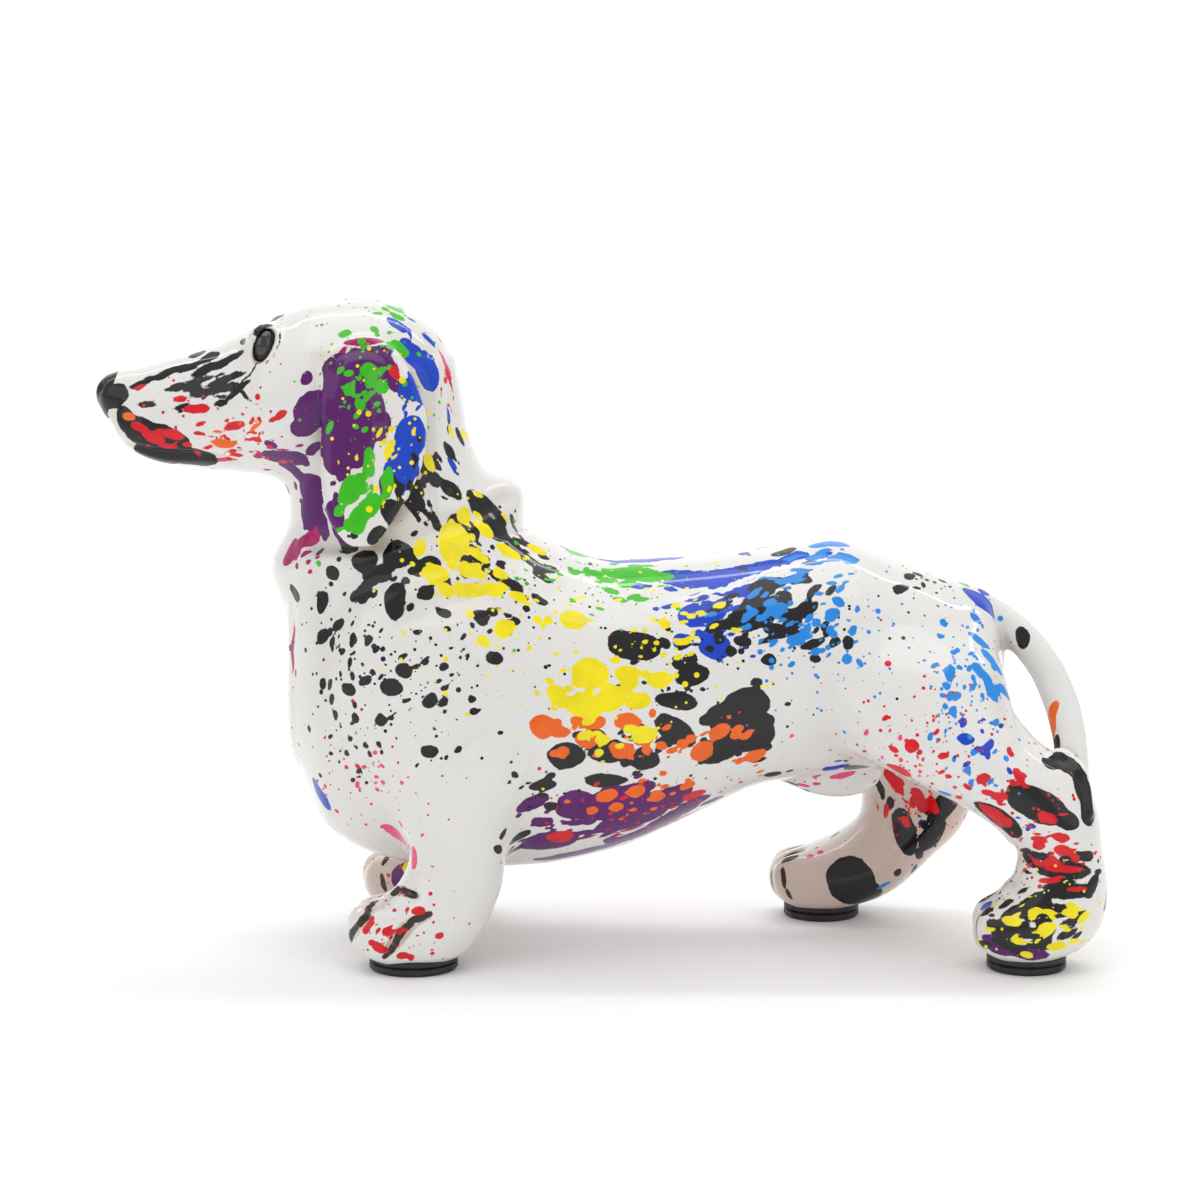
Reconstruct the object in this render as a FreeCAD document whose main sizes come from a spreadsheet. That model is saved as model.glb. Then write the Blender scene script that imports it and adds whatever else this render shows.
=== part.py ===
"""A standing dachshund figurine, slip-cast in glazed ceramic, as a parametric FreeCAD document.

The potter casts the body with its neck, the head and the four legs as hollow shells of one wall
thickness, presses the ears and the tail solid, and lutes them together before firing.  The cavities
open into each other, and each leg drains through a vent hole in its sole.  After glazing, two eye
domes are set into their sockets and a rubber foot is plugged into each vent hole.

Frame, in millimetres: origin on the surface the dog stands on, in the middle of its box; +Z up;
the nose points to -X and the dog's left side faces -Y.
"""
import FreeCAD
import Part
import Sketcher

import os

from FreeCAD import Placement, Rotation, Vector

# ---------------------------------------------------------------- driving dimensions
GENERAL = {
    "wall": 4.0,            # thickness of the cast shells
    "pad_height": 5.0,      # rubber foot, from the ground to the sole
    "pad_lip": 0.8,         # how far the rounded edges of a rubber foot are rolled
    "pad_groove": 0.7,      # depth of the groove round a rubber foot
    "vent_radius": 2.5,     # vent hole in each sole, and the spigot that plugs it
    "spigot_length": 5.5,   # how far the spigot reaches above the sole
    "fore_pad_radius": 13.2,
    "hind_pad_radius": 11.8,
    "fore_foot_x": -55.5,
    "left_hind_foot_x": 127.0,
    "right_hind_foot_x": 70.0,
    "foot_y": 34.0,
    "eye_x": -99.5,
    "eye_y": 13.2,
    "eye_z": 183.6,
    "eye_length": 3.9,      # half axes of an eye dome
    "eye_depth": 4.6,
    "eye_height": 5.4,
    "luting_reach": 200.0,  # how far the block over the luting plane reaches from the middle
    "luting_height": 149.0,  # the luting plane between body and head, at the block's front edge
    "luting_tilt": 3.0,     # degrees that it falls towards the tail
    "sheath_x": 70.0,
    "sheath_z": 52.5,
    "sheath_length": 14.5,  # half axes of the low teardrop under the belly
    "sheath_width": 7.0,
    "sheath_height": 8.0,
}

# Sections across X, from the nose or chest towards the tail: (x, lowest z, highest z, half width).
TORSO = [
    (-95.5, 66.0, 88.0, 8.0),
    (-91.0, 49.0, 103.0, 21.0),
    (-82.0, 35.5, 112.0, 30.5),
    (-66.0, 27.0, 118.0, 37.0),
    (-45.0, 22.5, 122.0, 40.0),
    (-20.0, 22.0, 122.5, 40.5),
    (5.0, 28.0, 118.0, 38.5),
    (30.0, 38.5, 119.5, 35.5),
    (50.0, 48.5, 121.5, 33.0),
    (70.0, 52.5, 124.5, 32.0),
    (90.0, 55.5, 118.0, 30.0),
    (106.0, 60.0, 112.5, 25.5),
    (118.0, 67.5, 107.5, 18.5),
    (125.0, 76.5, 101.0, 10.5),
]
HEAD = [
    (-150.4, 164.5, 172.0, 3.3),
    (-146.0, 158.5, 173.3, 6.4),
    (-139.0, 150.5, 175.8, 10.0),
    (-129.0, 147.0, 178.8, 12.4),
    (-117.0, 145.5, 182.0, 14.5),
    (-107.0, 144.5, 187.0, 17.5),
    (-97.0, 143.5, 192.0, 21.5),
    (-84.0, 144.5, 196.0, 24.0),
    (-70.0, 147.0, 197.0, 24.3),
    (-59.0, 150.0, 194.0, 21.5),
    (-51.0, 155.0, 189.0, 16.0),
    (-45.5, 162.0, 182.5, 9.0),
]
# Sections across Z, from the bottom up: (z, front x, back x, distance of the middle from y = 0, half width).
NECK = [
    (88.0, -92.0, -22.0, 0.0, 33.0),
    (100.0, -94.0, -16.0, 0.0, 34.5),
    (111.0, -96.5, -14.0, 0.0, 34.0),
    (121.0, -95.5, -20.0, 0.0, 32.5),
    (131.0, -94.0, -25.5, 0.0, 30.0),
    (141.0, -93.5, -32.0, 0.0, 27.5),
    (151.0, -90.0, -37.5, 0.0, 25.0),
    (162.0, -85.0, -41.0, 0.0, 21.5),
    (173.0, -80.0, -43.5, 0.0, 17.5),
    (181.0, -74.0, -48.5, 0.0, 11.5),
]
EAR = [
    (185.5, -71.5, -63.5, 17.5, 2.0),
    (181.0, -78.5, -58.5, 22.5, 3.2),
    (173.0, -81.0, -54.5, 26.5, 3.5),
    (163.0, -81.5, -51.0, 28.4, 3.4),
    (153.0, -82.0, -51.5, 29.8, 3.3),
    (143.0, -81.5, -55.5, 31.4, 3.2),
    (134.0, -79.5, -60.5, 33.0, 3.1),
    (126.5, -73.5, -66.0, 34.5, 2.2),
]
FORELEG = [
    (5.0, -70.0, -41.0, 34.0, 13.0),
    (8.5, -74.0, -37.5, 34.0, 15.0),
    (13.0, -74.5, -34.0, 34.0, 15.5),
    (18.5, -69.0, -31.5, 33.5, 14.5),
    (25.0, -60.0, -29.0, 33.0, 13.2),
    (34.0, -56.5, -28.0, 32.5, 13.0),
    (46.0, -58.0, -26.5, 32.0, 13.5),
    (60.0, -62.0, -25.0, 31.0, 13.3),
    (74.0, -63.5, -27.5, 28.0, 12.5),
    (86.0, -60.0, -33.0, 23.0, 9.5),
]
LEFT_HIND_LEG = [
    (5.0, 114.0, 140.5, 34.0, 12.5),
    (9.0, 111.0, 147.5, 34.0, 15.0),
    (15.0, 112.0, 149.5, 34.0, 15.7),
    (21.0, 116.5, 150.5, 34.0, 15.0),
    (27.0, 122.5, 150.4, 34.0, 13.4),
    (34.5, 124.0, 149.2, 33.5, 12.4),
    (42.0, 117.5, 148.5, 33.0, 13.2),
    (50.0, 105.0, 147.0, 31.5, 15.0),
    (58.5, 87.0, 143.0, 30.0, 16.8),
    (68.0, 72.0, 131.0, 28.5, 17.8),
    (80.0, 66.5, 123.5, 25.5, 16.5),
    (92.0, 69.0, 116.5, 21.5, 14.0),
    (102.0, 76.0, 108.0, 16.5, 9.5),
    (108.0, 83.0, 101.0, 12.0, 5.5),
]
RIGHT_HIND_LEG = [
    (5.0, 56.5, 83.0, 34.0, 12.5),
    (9.0, 53.5, 95.0, 34.0, 14.5),
    (14.0, 53.5, 99.5, 34.0, 15.7),
    (20.0, 60.0, 105.5, 34.0, 14.5),
    (26.0, 74.0, 112.0, 34.0, 13.3),
    (33.0, 82.0, 116.0, 33.5, 12.8),
    (41.0, 82.5, 118.5, 33.0, 13.5),
    (50.0, 78.0, 121.5, 31.5, 15.0),
    (60.0, 71.0, 124.5, 30.0, 17.0),
    (71.0, 66.0, 126.0, 28.0, 17.8),
    (82.0, 66.0, 123.0, 25.5, 16.5),
    (93.0, 69.0, 116.0, 21.5, 13.5),
    (102.0, 76.0, 108.0, 16.5, 9.5),
    (108.0, 83.0, 101.0, 12.0, 5.5),
]
# Round sections of the tail, from the rump down to the left hock: (x, y, z, radius).
TAIL = [
    (112.0, 0.0, 103.5, 7.2),
    (121.5, -0.8, 99.0, 6.6),
    (130.0, -3.0, 92.5, 5.8),
    (136.0, -6.6, 84.5, 5.3),
    (140.0, -11.3, 75.5, 4.9),
    (141.8, -17.0, 66.5, 4.8),
    (141.3, -22.5, 58.0, 5.0),
]
ALONG_X = ("x", "low", "high", "half")
ALONG_Z = ("height", "front", "back", "middle", "half")
ROUND = ("x", "y", "height", "radius")
UPRIGHT = Rotation(Vector(0, 1, 0), -90)    # turns an ellipse's long axis from X up to Z

doc = FreeCAD.newDocument("dachshund_figurine")
sheet = doc.addObject("Spreadsheet::Sheet", "Dimensions")


# ---------------------------------------------------------------- the spreadsheet
def fill_sheet():
    """One row per driving dimension: its alias in column A, its value in column B."""
    rows = list(GENERAL.items())
    for form, keys, stations in (
        ("torso", ALONG_X, TORSO),
        ("head", ALONG_X, HEAD),
        ("neck", ALONG_Z, NECK),
        ("ear", ALONG_Z, EAR),
        ("foreleg", ALONG_Z, FORELEG),
        ("left_hind", ALONG_Z, LEFT_HIND_LEG),
        ("right_hind", ALONG_Z, RIGHT_HIND_LEG),
        ("tail", ROUND, TAIL),
    ):
        for n, station in enumerate(stations):
            rows += [(f"{form}_{n}_{key}", value) for key, value in zip(keys, station)]
    for row, (alias, value) in enumerate(rows, start=1):
        sheet.set(f"A{row}", alias)
        sheet.set(f"B{row}", str(value))
        sheet.setAlias(f"B{row}", alias)
    doc.recompute()


def cell(alias):
    return f"Dimensions.{alias}"


def bind(obj, **expressions):
    """Ties each named property, with a double underscore for a dot, to an expression over the sheet."""
    for name, expression in expressions.items():
        obj.setExpression(name.replace("__", "."), expression)
    return obj


# ---------------------------------------------------------------- lofted forms
def ellipse_across_x(form, n, inset):
    """Section n of a form along X, drawn in by inset all round."""
    ellipse = doc.addObject("Part::Ellipse", f"{form}_section")
    ellipse.Placement = Placement(Vector(), UPRIGHT)
    key = cell(f"{form}_{n}_")
    return bind(
        ellipse,
        Placement__Base__x=f"{key}x",
        Placement__Base__z=f"({key}low + {key}high) / 2",
        MajorRadius=f"({key}high - {key}low) / 2 - {inset}",
        MinorRadius=f"{key}half - {inset}",
    )


def ellipse_across_z(form, n, inset, side):
    """Section n of a form along Z, drawn in by inset; side is -1 on the dog's left and 1 on its right."""
    ellipse = doc.addObject("Part::Ellipse", f"{form}_section")
    key = cell(f"{form}_{n}_")
    return bind(
        ellipse,
        Placement__Base__x=f"({key}front + {key}back) / 2",
        Placement__Base__y=f"{side} * {key}middle",
        Placement__Base__z=f"{key}height",
        MajorRadius=f"({key}back - {key}front) / 2 - {inset}",
        MinorRadius=f"{key}half - {inset}",
    )


def loft(name, sections):
    """A closed solid through the sections, in order."""
    form = doc.addObject("Part::Loft", name)
    form.Sections = sections
    form.Solid = True
    form.Ruled = False
    return form


def form_along_x(name, form, stations, inset="0"):
    return loft(name, [ellipse_across_x(form, n, inset) for n in stations])


def form_along_z(name, form, stations, inset="0", side=1):
    return loft(name, [ellipse_across_z(form, n, inset, side) for n in stations])


def fused(name, shapes):
    joined = doc.addObject("Part::MultiFuse", name)
    joined.Shapes = shapes
    return joined


def cut(name, base, *tools):
    """base less each tool in turn; the last result carries the name."""
    for n, tool in enumerate(tools):
        last = n == len(tools) - 1
        less = doc.addObject("Part::Cut", name if last else f"{name}_stage")
        less.Base = base
        less.Tool = tool
        base = less
    return base


def ellipsoid(name, x, y, z, along_x, along_y, along_z):
    """An ellipsoid whose centre and half axes are expressions over the sheet."""
    form = doc.addObject("Part::Ellipsoid", name)
    form.Angle1, form.Angle2, form.Angle3 = -90, 90, 360
    return bind(
        form,
        Placement__Base__x=x,
        Placement__Base__y=y,
        Placement__Base__z=z,
        Radius2=along_x,
        Radius3=along_y,
        Radius1=along_z,
    )


# ---------------------------------------------------------------- pieces
def above_luting():
    """A block over the plane, low at the nape, where head and body castings are luted together."""
    block = doc.addObject("Part::Box", "above_luting")
    block.Placement = Placement(Vector(), Rotation(Vector(0, 1, 0), GENERAL["luting_tilt"]))
    return bind(
        block,
        Placement__Base__x=f"-{cell('luting_reach')}",
        Placement__Base__y=f"-{cell('luting_reach')}",
        Placement__Base__z=cell("luting_height"),
        Length=f"2 * {cell('luting_reach')}",
        Width=f"2 * {cell('luting_reach')}",
        Height=cell("luting_reach"),
    )


def body_and_head_forms():
    """The outsides of the body casting and the head casting, split at the luting plane."""
    torso = form_along_x("torso_form", "torso", range(len(TORSO)))
    neck = form_along_z("neck_form", "neck", range(len(NECK)))
    sheath = ellipsoid(
        "sheath_form",
        cell("sheath_x"), "0", cell("sheath_z"),
        cell("sheath_length"), cell("sheath_width"), cell("sheath_height"),
    )
    body = cut("body_outside", fused("torso_and_neck", [torso, neck, sheath]), above_luting())
    skull = form_along_x("skull_form", "head", range(len(HEAD)))
    head = cut("head_outside", fused("skull_and_neck", [skull, neck]), body)
    return body, head


def interior_form():
    """The cavity that torso, neck and head share."""
    wall = cell("wall")
    torso = form_along_x("torso_core", "torso", range(1, len(TORSO) - 1), wall)
    neck = form_along_z("neck_core", "neck", range(1, len(NECK) - 1), wall)
    skull = form_along_x("skull_core", "head", range(2, len(HEAD) - 1), wall)
    return fused("interior", [torso, neck, skull])


def leg_forms(name, form, stations, side):
    """Outside and cavity of one leg; the cavity starts a wall above the sole."""
    outside = form_along_z(f"{name}_outside", form, range(len(stations)), "0", side)
    core = form_along_z(f"{name}_core", form, range(1, len(stations)), cell("wall"), side)
    return outside, core


def vent(name, foot_x, side):
    """The vent hole of one sole, as a cylinder from below the sole into the cavity."""
    hole = doc.addObject("Part::Cylinder", f"{name}_vent")
    return bind(
        hole,
        Placement__Base__x=cell(foot_x),
        Placement__Base__y=f"{side} * {cell('foot_y')}",
        Placement__Base__z=f"{cell('pad_height')} - 1",
        Radius=cell("vent_radius"),
        Height=f"{cell('spigot_length')} + 1",
    )


def origin_plane(body, role):
    return next(plane for plane in body.Origin.OriginFeatures if plane.Role == role)


def length(shares):
    """A length made of shares of driving dimensions, as its number."""
    return sum(share * GENERAL[alias] for alias, share in shares.items())


def length_expression(shares):
    """The same length, as an expression over the sheet."""
    return " + ".join(f"{share} * {cell(alias)}" for alias, share in shares.items())


def foot_pad(name, foot_x, radius, side):
    """A turned rubber foot: a disc with rolled edges and a groove, and the spigot that plugs the vent."""
    body = doc.addObject("PartDesign::Body", name)
    bind(
        body,
        Placement__Base__x=cell(foot_x),
        Placement__Base__y=f"{side} * {cell('foot_y')}",
    )
    profile = body.newObject("Sketcher::SketchObject", f"{name}_profile")
    profile.AttachmentSupport = [(origin_plane(body, "XZ_Plane"), "")]
    profile.MapMode = "FlatFace"
    corners = [
        ({}, {}),
        ({radius: 1, "pad_lip": -1}, {}),
        ({radius: 1}, {"pad_lip": 1}),
        ({radius: 1}, {"pad_height": 0.5, "pad_lip": -0.5}),
        ({radius: 1, "pad_groove": -1}, {"pad_height": 0.5}),
        ({radius: 1}, {"pad_height": 0.5, "pad_lip": 0.5}),
        ({radius: 1}, {"pad_height": 1, "pad_lip": -1}),
        ({radius: 1, "pad_lip": -1}, {"pad_height": 1}),
        ({"vent_radius": 1}, {"pad_height": 1}),
        ({"vent_radius": 1}, {"pad_height": 1, "spigot_length": 1}),
        ({}, {"pad_height": 1, "spigot_length": 1}),
    ]
    points = [Vector(length(across), length(up), 0) for across, up in corners]
    for start, end in zip(points, points[1:] + points[:1]):
        profile.addGeometry(Part.LineSegment(start, end))
    for n in range(len(corners)):
        profile.addConstraint(Sketcher.Constraint("Coincident", n, 2, (n + 1) % len(corners), 1))
    profile.addConstraint(Sketcher.Constraint("Coincident", 0, 1, -1, 1))
    for n, corner in enumerate(corners[1:], start=1):
        for kind, axis, shares in zip(("DistanceX", "DistanceY"), (-2, -1), corner):
            if shares:
                row = profile.addConstraint(Sketcher.Constraint(kind, -1, 1, n, 1, length(shares)))
                profile.setExpression(f"Constraints[{row}]", length_expression(shares))
            else:
                profile.addConstraint(Sketcher.Constraint("PointOnObject", n, 1, axis))
    doc.recompute()
    turned = body.newObject("PartDesign::Revolution", f"{name}_turned")
    turned.Profile = profile
    turned.ReferenceAxis = (profile, ["V_Axis"])
    turned.Angle = 360
    return body


def round_section(n):
    """A circle square to the tail's path at station n."""
    before, after = TAIL[max(n - 1, 0)], TAIL[min(n + 1, len(TAIL) - 1)]
    direction = Vector(*after[:3]) - Vector(*before[:3])
    circle = doc.addObject("Part::Circle", "tail_section")
    circle.Placement = Placement(Vector(), Rotation(Vector(0, 0, -1), direction))
    key = cell(f"tail_{n}_")
    return bind(
        circle,
        Placement__Base__x=f"{key}x",
        Placement__Base__y=f"{key}y",
        Placement__Base__z=f"{key}height",
        Radius=f"{key}radius",
    )


def build():
    """Every piece of the figurine, as {node name: document object}."""
    body_outside, head_outside = body_and_head_forms()
    interior = interior_form()
    legs = {
        "foreleg_left": ("foreleg", FORELEG, -1, "fore_foot_x", "fore_pad_radius"),
        "foreleg_right": ("foreleg", FORELEG, 1, "fore_foot_x", "fore_pad_radius"),
        "hind_leg_left": ("left_hind", LEFT_HIND_LEG, -1, "left_hind_foot_x", "hind_pad_radius"),
        "hind_leg_right": ("right_hind", RIGHT_HIND_LEG, 1, "right_hind_foot_x", "hind_pad_radius"),
    }
    pieces, leg_outsides, leg_cores = {}, {}, []
    for name, (form, stations, side, foot_x, radius) in legs.items():
        outside, core = leg_forms(name, form, stations, side)
        hole = vent(name, foot_x, side)
        leg_outsides[name] = outside
        leg_cores.append(core)
        pieces[name] = cut(name, outside, body_outside, core, hole)
        pad = name.replace("leg", "foot") + "_pad"
        pieces[pad] = foot_pad(pad, foot_x, radius, side)
    pieces["body"] = cut("body", body_outside, interior, *leg_cores)
    eyes = []
    for side, name in ((-1, "eye_left"), (1, "eye_right")):
        eye = ellipsoid(
            name,
            cell("eye_x"), f"{side} * {cell('eye_y')}", cell("eye_z"),
            cell("eye_length"), cell("eye_depth"), cell("eye_height"),
        )
        eyes.append(eye)
        pieces[name] = eye
    pieces["head"] = cut("head", head_outside, interior, *eyes)
    for side, name in ((-1, "ear_left"), (1, "ear_right")):
        flap = form_along_z(f"{name}_form", "ear", range(len(EAR)), "0", side)
        pieces[name] = cut(name, flap, head_outside, body_outside)
    tail_form = loft("tail_form", [round_section(n) for n in range(len(TAIL))])
    pieces["tail"] = cut("tail", tail_form, body_outside, leg_outsides["hind_leg_left"])
    return pieces


def checked(pieces):
    """Stops with a message if any object failed or any piece isn't a valid solid."""
    failed = [o.Name for o in doc.Objects if {"Invalid", "Error"} & set(o.State)]
    if failed:
        raise RuntimeError(f"these objects failed: {failed}")
    for name, piece in pieces.items():
        shape = piece.Shape
        if shape.isNull() or not shape.isValid() or not shape.Solids:
            raise RuntimeError(f"{name} has no valid solid")
    return pieces


def export(pieces):
    """One STEP file per piece, holding its solids where they stand."""
    os.makedirs("parts", exist_ok=True)
    for name, piece in pieces.items():
        piece.Label = name
        piece.Shape.exportStep(f"parts/{name}.step")
        box = piece.Shape.BoundBox
        print(
            f"{name}: {len(piece.Shape.Solids)} solid, {piece.Shape.Volume / 1000:.1f} cm3, "
            f"x {box.XMin:.1f} to {box.XMax:.1f}, y {box.YMin:.1f} to {box.YMax:.1f}, "
            f"z {box.ZMin:.1f} to {box.ZMax:.1f}"
        )


fill_sheet()
made = build()
doc.recompute()
export(checked(made))
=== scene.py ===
import math

import bpy
import numpy as np
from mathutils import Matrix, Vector


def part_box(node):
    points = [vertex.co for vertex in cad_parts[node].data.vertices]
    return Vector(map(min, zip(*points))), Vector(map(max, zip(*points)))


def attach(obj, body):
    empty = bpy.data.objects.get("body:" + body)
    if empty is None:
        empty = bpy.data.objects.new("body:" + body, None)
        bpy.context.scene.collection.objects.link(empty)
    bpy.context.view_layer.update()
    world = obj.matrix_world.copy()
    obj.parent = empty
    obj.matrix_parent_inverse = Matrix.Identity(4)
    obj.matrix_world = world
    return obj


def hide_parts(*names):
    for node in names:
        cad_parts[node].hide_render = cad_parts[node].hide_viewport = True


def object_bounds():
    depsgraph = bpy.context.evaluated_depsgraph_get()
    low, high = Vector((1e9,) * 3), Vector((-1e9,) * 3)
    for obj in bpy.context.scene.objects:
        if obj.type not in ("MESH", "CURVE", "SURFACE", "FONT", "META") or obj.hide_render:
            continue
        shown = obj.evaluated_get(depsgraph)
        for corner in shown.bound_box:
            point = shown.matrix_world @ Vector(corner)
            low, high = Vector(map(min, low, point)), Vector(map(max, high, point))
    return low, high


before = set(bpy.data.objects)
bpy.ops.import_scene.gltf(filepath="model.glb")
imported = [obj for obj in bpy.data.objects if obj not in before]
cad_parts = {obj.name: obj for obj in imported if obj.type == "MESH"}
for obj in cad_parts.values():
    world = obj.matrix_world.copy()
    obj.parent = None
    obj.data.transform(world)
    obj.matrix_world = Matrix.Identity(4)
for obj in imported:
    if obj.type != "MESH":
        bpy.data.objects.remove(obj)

CAD_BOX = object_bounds()
MM = 0.001                            # the sculpt is measured in millimetres, Blender in metres
PITCH = 0.8    # spacing of the clay's grid
FAR = 60.0                            # the distance that empty clay holds
LEFT = -1                             # the dog's left side faces -Y
RIGHT = 1
SOLE_LIP = 1.8                        # how far a paw's rim reaches down round its pad
PAW_TOP = 27                          # below this height the grooves are toes, and hold a dark stain
HOLLOW_REACH = 4.0                    # how near other clay makes a hollow, with painted warm shade and glaze pooled there
GROOVE_REACH = 1.6                    # and how near it makes a groove
SPLASH_SEEDS = {LEFT: 11, RIGHT: 23}
SPILL_SEED = 31

# Sections of the sculpt. They follow the frame's castings, but the belly is 1 to 2.5 mm higher, the rump
# ends up to 2.5 mm sooner, the tail and the left thigh are a little slimmer, and the soles start lower.
# Along X: (x, low z, high z, half width). Along Z: (z, front x, back x, middle y, half width).
TORSO = [
    (-91, 49, 103, 21), (-82, 35.5, 112, 30.5), (-66, 27, 118, 37), (-45, 23.5, 122, 40),
    (-20, 24.5, 122.5, 40.5), (5, 29.8, 118, 38.5), (30, 40.8, 119.5, 35.5), (50, 49.8, 121.5, 33),
    (70, 52.5, 124.5, 32), (90, 55.5, 118, 30), (106, 60, 112.5, 25.5), (117.5, 67.5, 107, 18.5),
    (122.5, 77, 98, 10.5)]
HEAD = [
    (-150.4, 164.5, 172, 3.3), (-146, 158.5, 173.3, 6.4), (-139, 150.5, 175.8, 10),
    (-129, 147, 178.8, 12.4), (-117, 145.5, 182, 14.5), (-107, 144.5, 187, 17.5), (-97, 143.5, 192, 21.5),
    (-84, 144.5, 196, 24), (-70, 147, 197, 24.3), (-59, 150, 194, 21.5), (-51, 155, 189, 16),
    (-45.5, 162, 182.5, 9)]
NECK = [
    (88, -92, -22, 0, 33), (100, -94, -16, 0, 34.5), (111, -96.5, -14, 0, 34), (121, -95.5, -20, 0, 32.5),
    (131, -94, -25.5, 0, 30), (141, -93.5, -32, 0, 27.5), (151, -90, -37.5, 0, 25),
    (162, -85, -41, 0, 21.5), (173, -80, -43.5, 0, 17.5), (181, -74, -48.5, 0, 11.5)]
EAR = [
    (185.5, -71.5, -63.5, 17.5, 2), (181, -78.5, -58.5, 22.5, 3.2), (173, -81, -54.5, 26.5, 3.5),
    (163, -81.5, -51, 28.4, 3.4), (153, -82, -51.5, 29.8, 3.3), (143, -81.5, -55.5, 31.4, 3.2),
    (134, -79.5, -60.5, 33, 3.1), (126.5, -73.5, -66, 34.5, 2.2)]
FORELEG = [
    (3, -70, -41, 34, 13), (8, -74, -37.5, 34, 15), (13, -74.5, -34, 34, 15.5),
    (18.5, -69, -31.5, 33.5, 14.5), (25, -60, -29, 33, 13.2), (34, -56.5, -28, 32.5, 13),
    (46, -58, -26.5, 32, 13.5), (60, -62, -25, 31, 13.3), (74, -63.5, -27.5, 28, 12.5),
    (86, -60, -33, 23, 9.5)]
LEFT_HIND_LEG = [
    (3, 116.5, 137, 34, 12), (8.5, 111, 145.5, 34, 15), (15, 112, 149.5, 34, 15.7),
    (21, 116.5, 150.5, 34, 15), (27, 122.5, 150.4, 34, 13.4), (34.5, 124, 149.2, 33.5, 12.4),
    (42, 117.5, 148.5, 33, 13.2), (50, 105, 147, 31.5, 15), (58.5, 87, 143, 30, 16.8),
    (68, 72, 129.5, 28.5, 17.8), (80, 66.5, 121, 25.5, 16.5), (92, 69, 116.5, 21.5, 14),
    (102, 76, 108, 16.5, 9.5)]
RIGHT_HIND_LEG = [
    (3, 59, 80.5, 34, 12), (8.5, 54, 93, 34, 14.5), (14, 53.5, 99.5, 34, 15.7), (20, 60, 105.5, 34, 14.5),
    (26, 74, 112, 34, 13.3), (33, 82, 116, 33.5, 12.8), (41, 82.5, 118.5, 33, 13.5),
    (50, 78, 121.5, 31.5, 15), (60, 71, 124.5, 30, 17), (71, 66, 126, 28, 17.8), (82, 66, 123, 25.5, 16.5),
    (93, 69, 116, 21.5, 13.5), (102, 76, 108, 16.5, 9.5)]
TOE_GROOVES = [                       # on the side of a forepaw: (x, z)
    [(-74, 10), (-72.5, 13), (-70, 17), (-65, 22.5), (-60, 24), (-54, 24)],
    [(-63, 7), (-61, 10), (-58.5, 13.5), (-55, 17.5), (-50, 19)]]
TAIL = [                              # (x, y, z, radius) from the root to the tip
    (112, 0, 103.5, 6.4), (121.5, -0.8, 99.5, 5.4), (129.5, -3, 93, 5.1), (135.4, -6.6, 85, 5.2),
    (139.2, -11.3, 75.5, 5.3), (141, -17, 66.5, 5.1), (141.2, -22.5, 58, 5)]


# ---------------------------------------------------------------- forms, as signed distances

def curve_through(knots, values, at):
    """A cubic through values at knots that never overshoots, read at the places `at`."""
    span = np.diff(knots)
    rise = np.diff(values) / span
    slope = np.zeros(len(values))
    steady = rise[:-1] * rise[1:] > 0
    slope[1:-1][steady] = (2 * rise[:-1] * rise[1:])[steady] / (rise[:-1] + rise[1:])[steady]
    slope[0] = rise[0]
    slope[-1] = rise[-1]
    i = np.clip(np.searchsorted(knots, at) - 1, 0, len(span) - 1)
    t = np.clip((at - knots[i]) / span[i], 0, 1)
    return ((1 + 2 * t) * (1 - t) ** 2 * values[i] + t * (1 - t) ** 2 * span[i] * slope[i]
            + t * t * (3 - 2 * t) * values[i + 1] - t * t * (1 - t) * span[i] * slope[i + 1])


def soften(values, reach):
    """A running average with bell-shaped weights, `reach` samples wide each way."""
    weights = np.exp(-2.0 * (np.arange(-reach, reach + 1) / reach) ** 2)
    rim = [np.full(reach, 2 * values[0]) - values[reach:0:-1], values,
           np.full(reach, 2 * values[-1]) - values[-2:-reach - 2:-1]]
    return np.convolve(np.concatenate(rim), weights / weights.sum(), "valid")


def on_side(y, side):
    """The y to measure: both sides at once, one side only, or y itself for a centred form."""
    if side == "both":
        return np.abs(y)
    return y * side if side else y


def side_span(middle, half, side):
    """Lowest and highest y of a form on its side or sides."""
    low = middle - half
    high = middle + half
    if side == "both":
        return -high, high
    return (low, high) if side != LEFT else (-high, -low)


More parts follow.
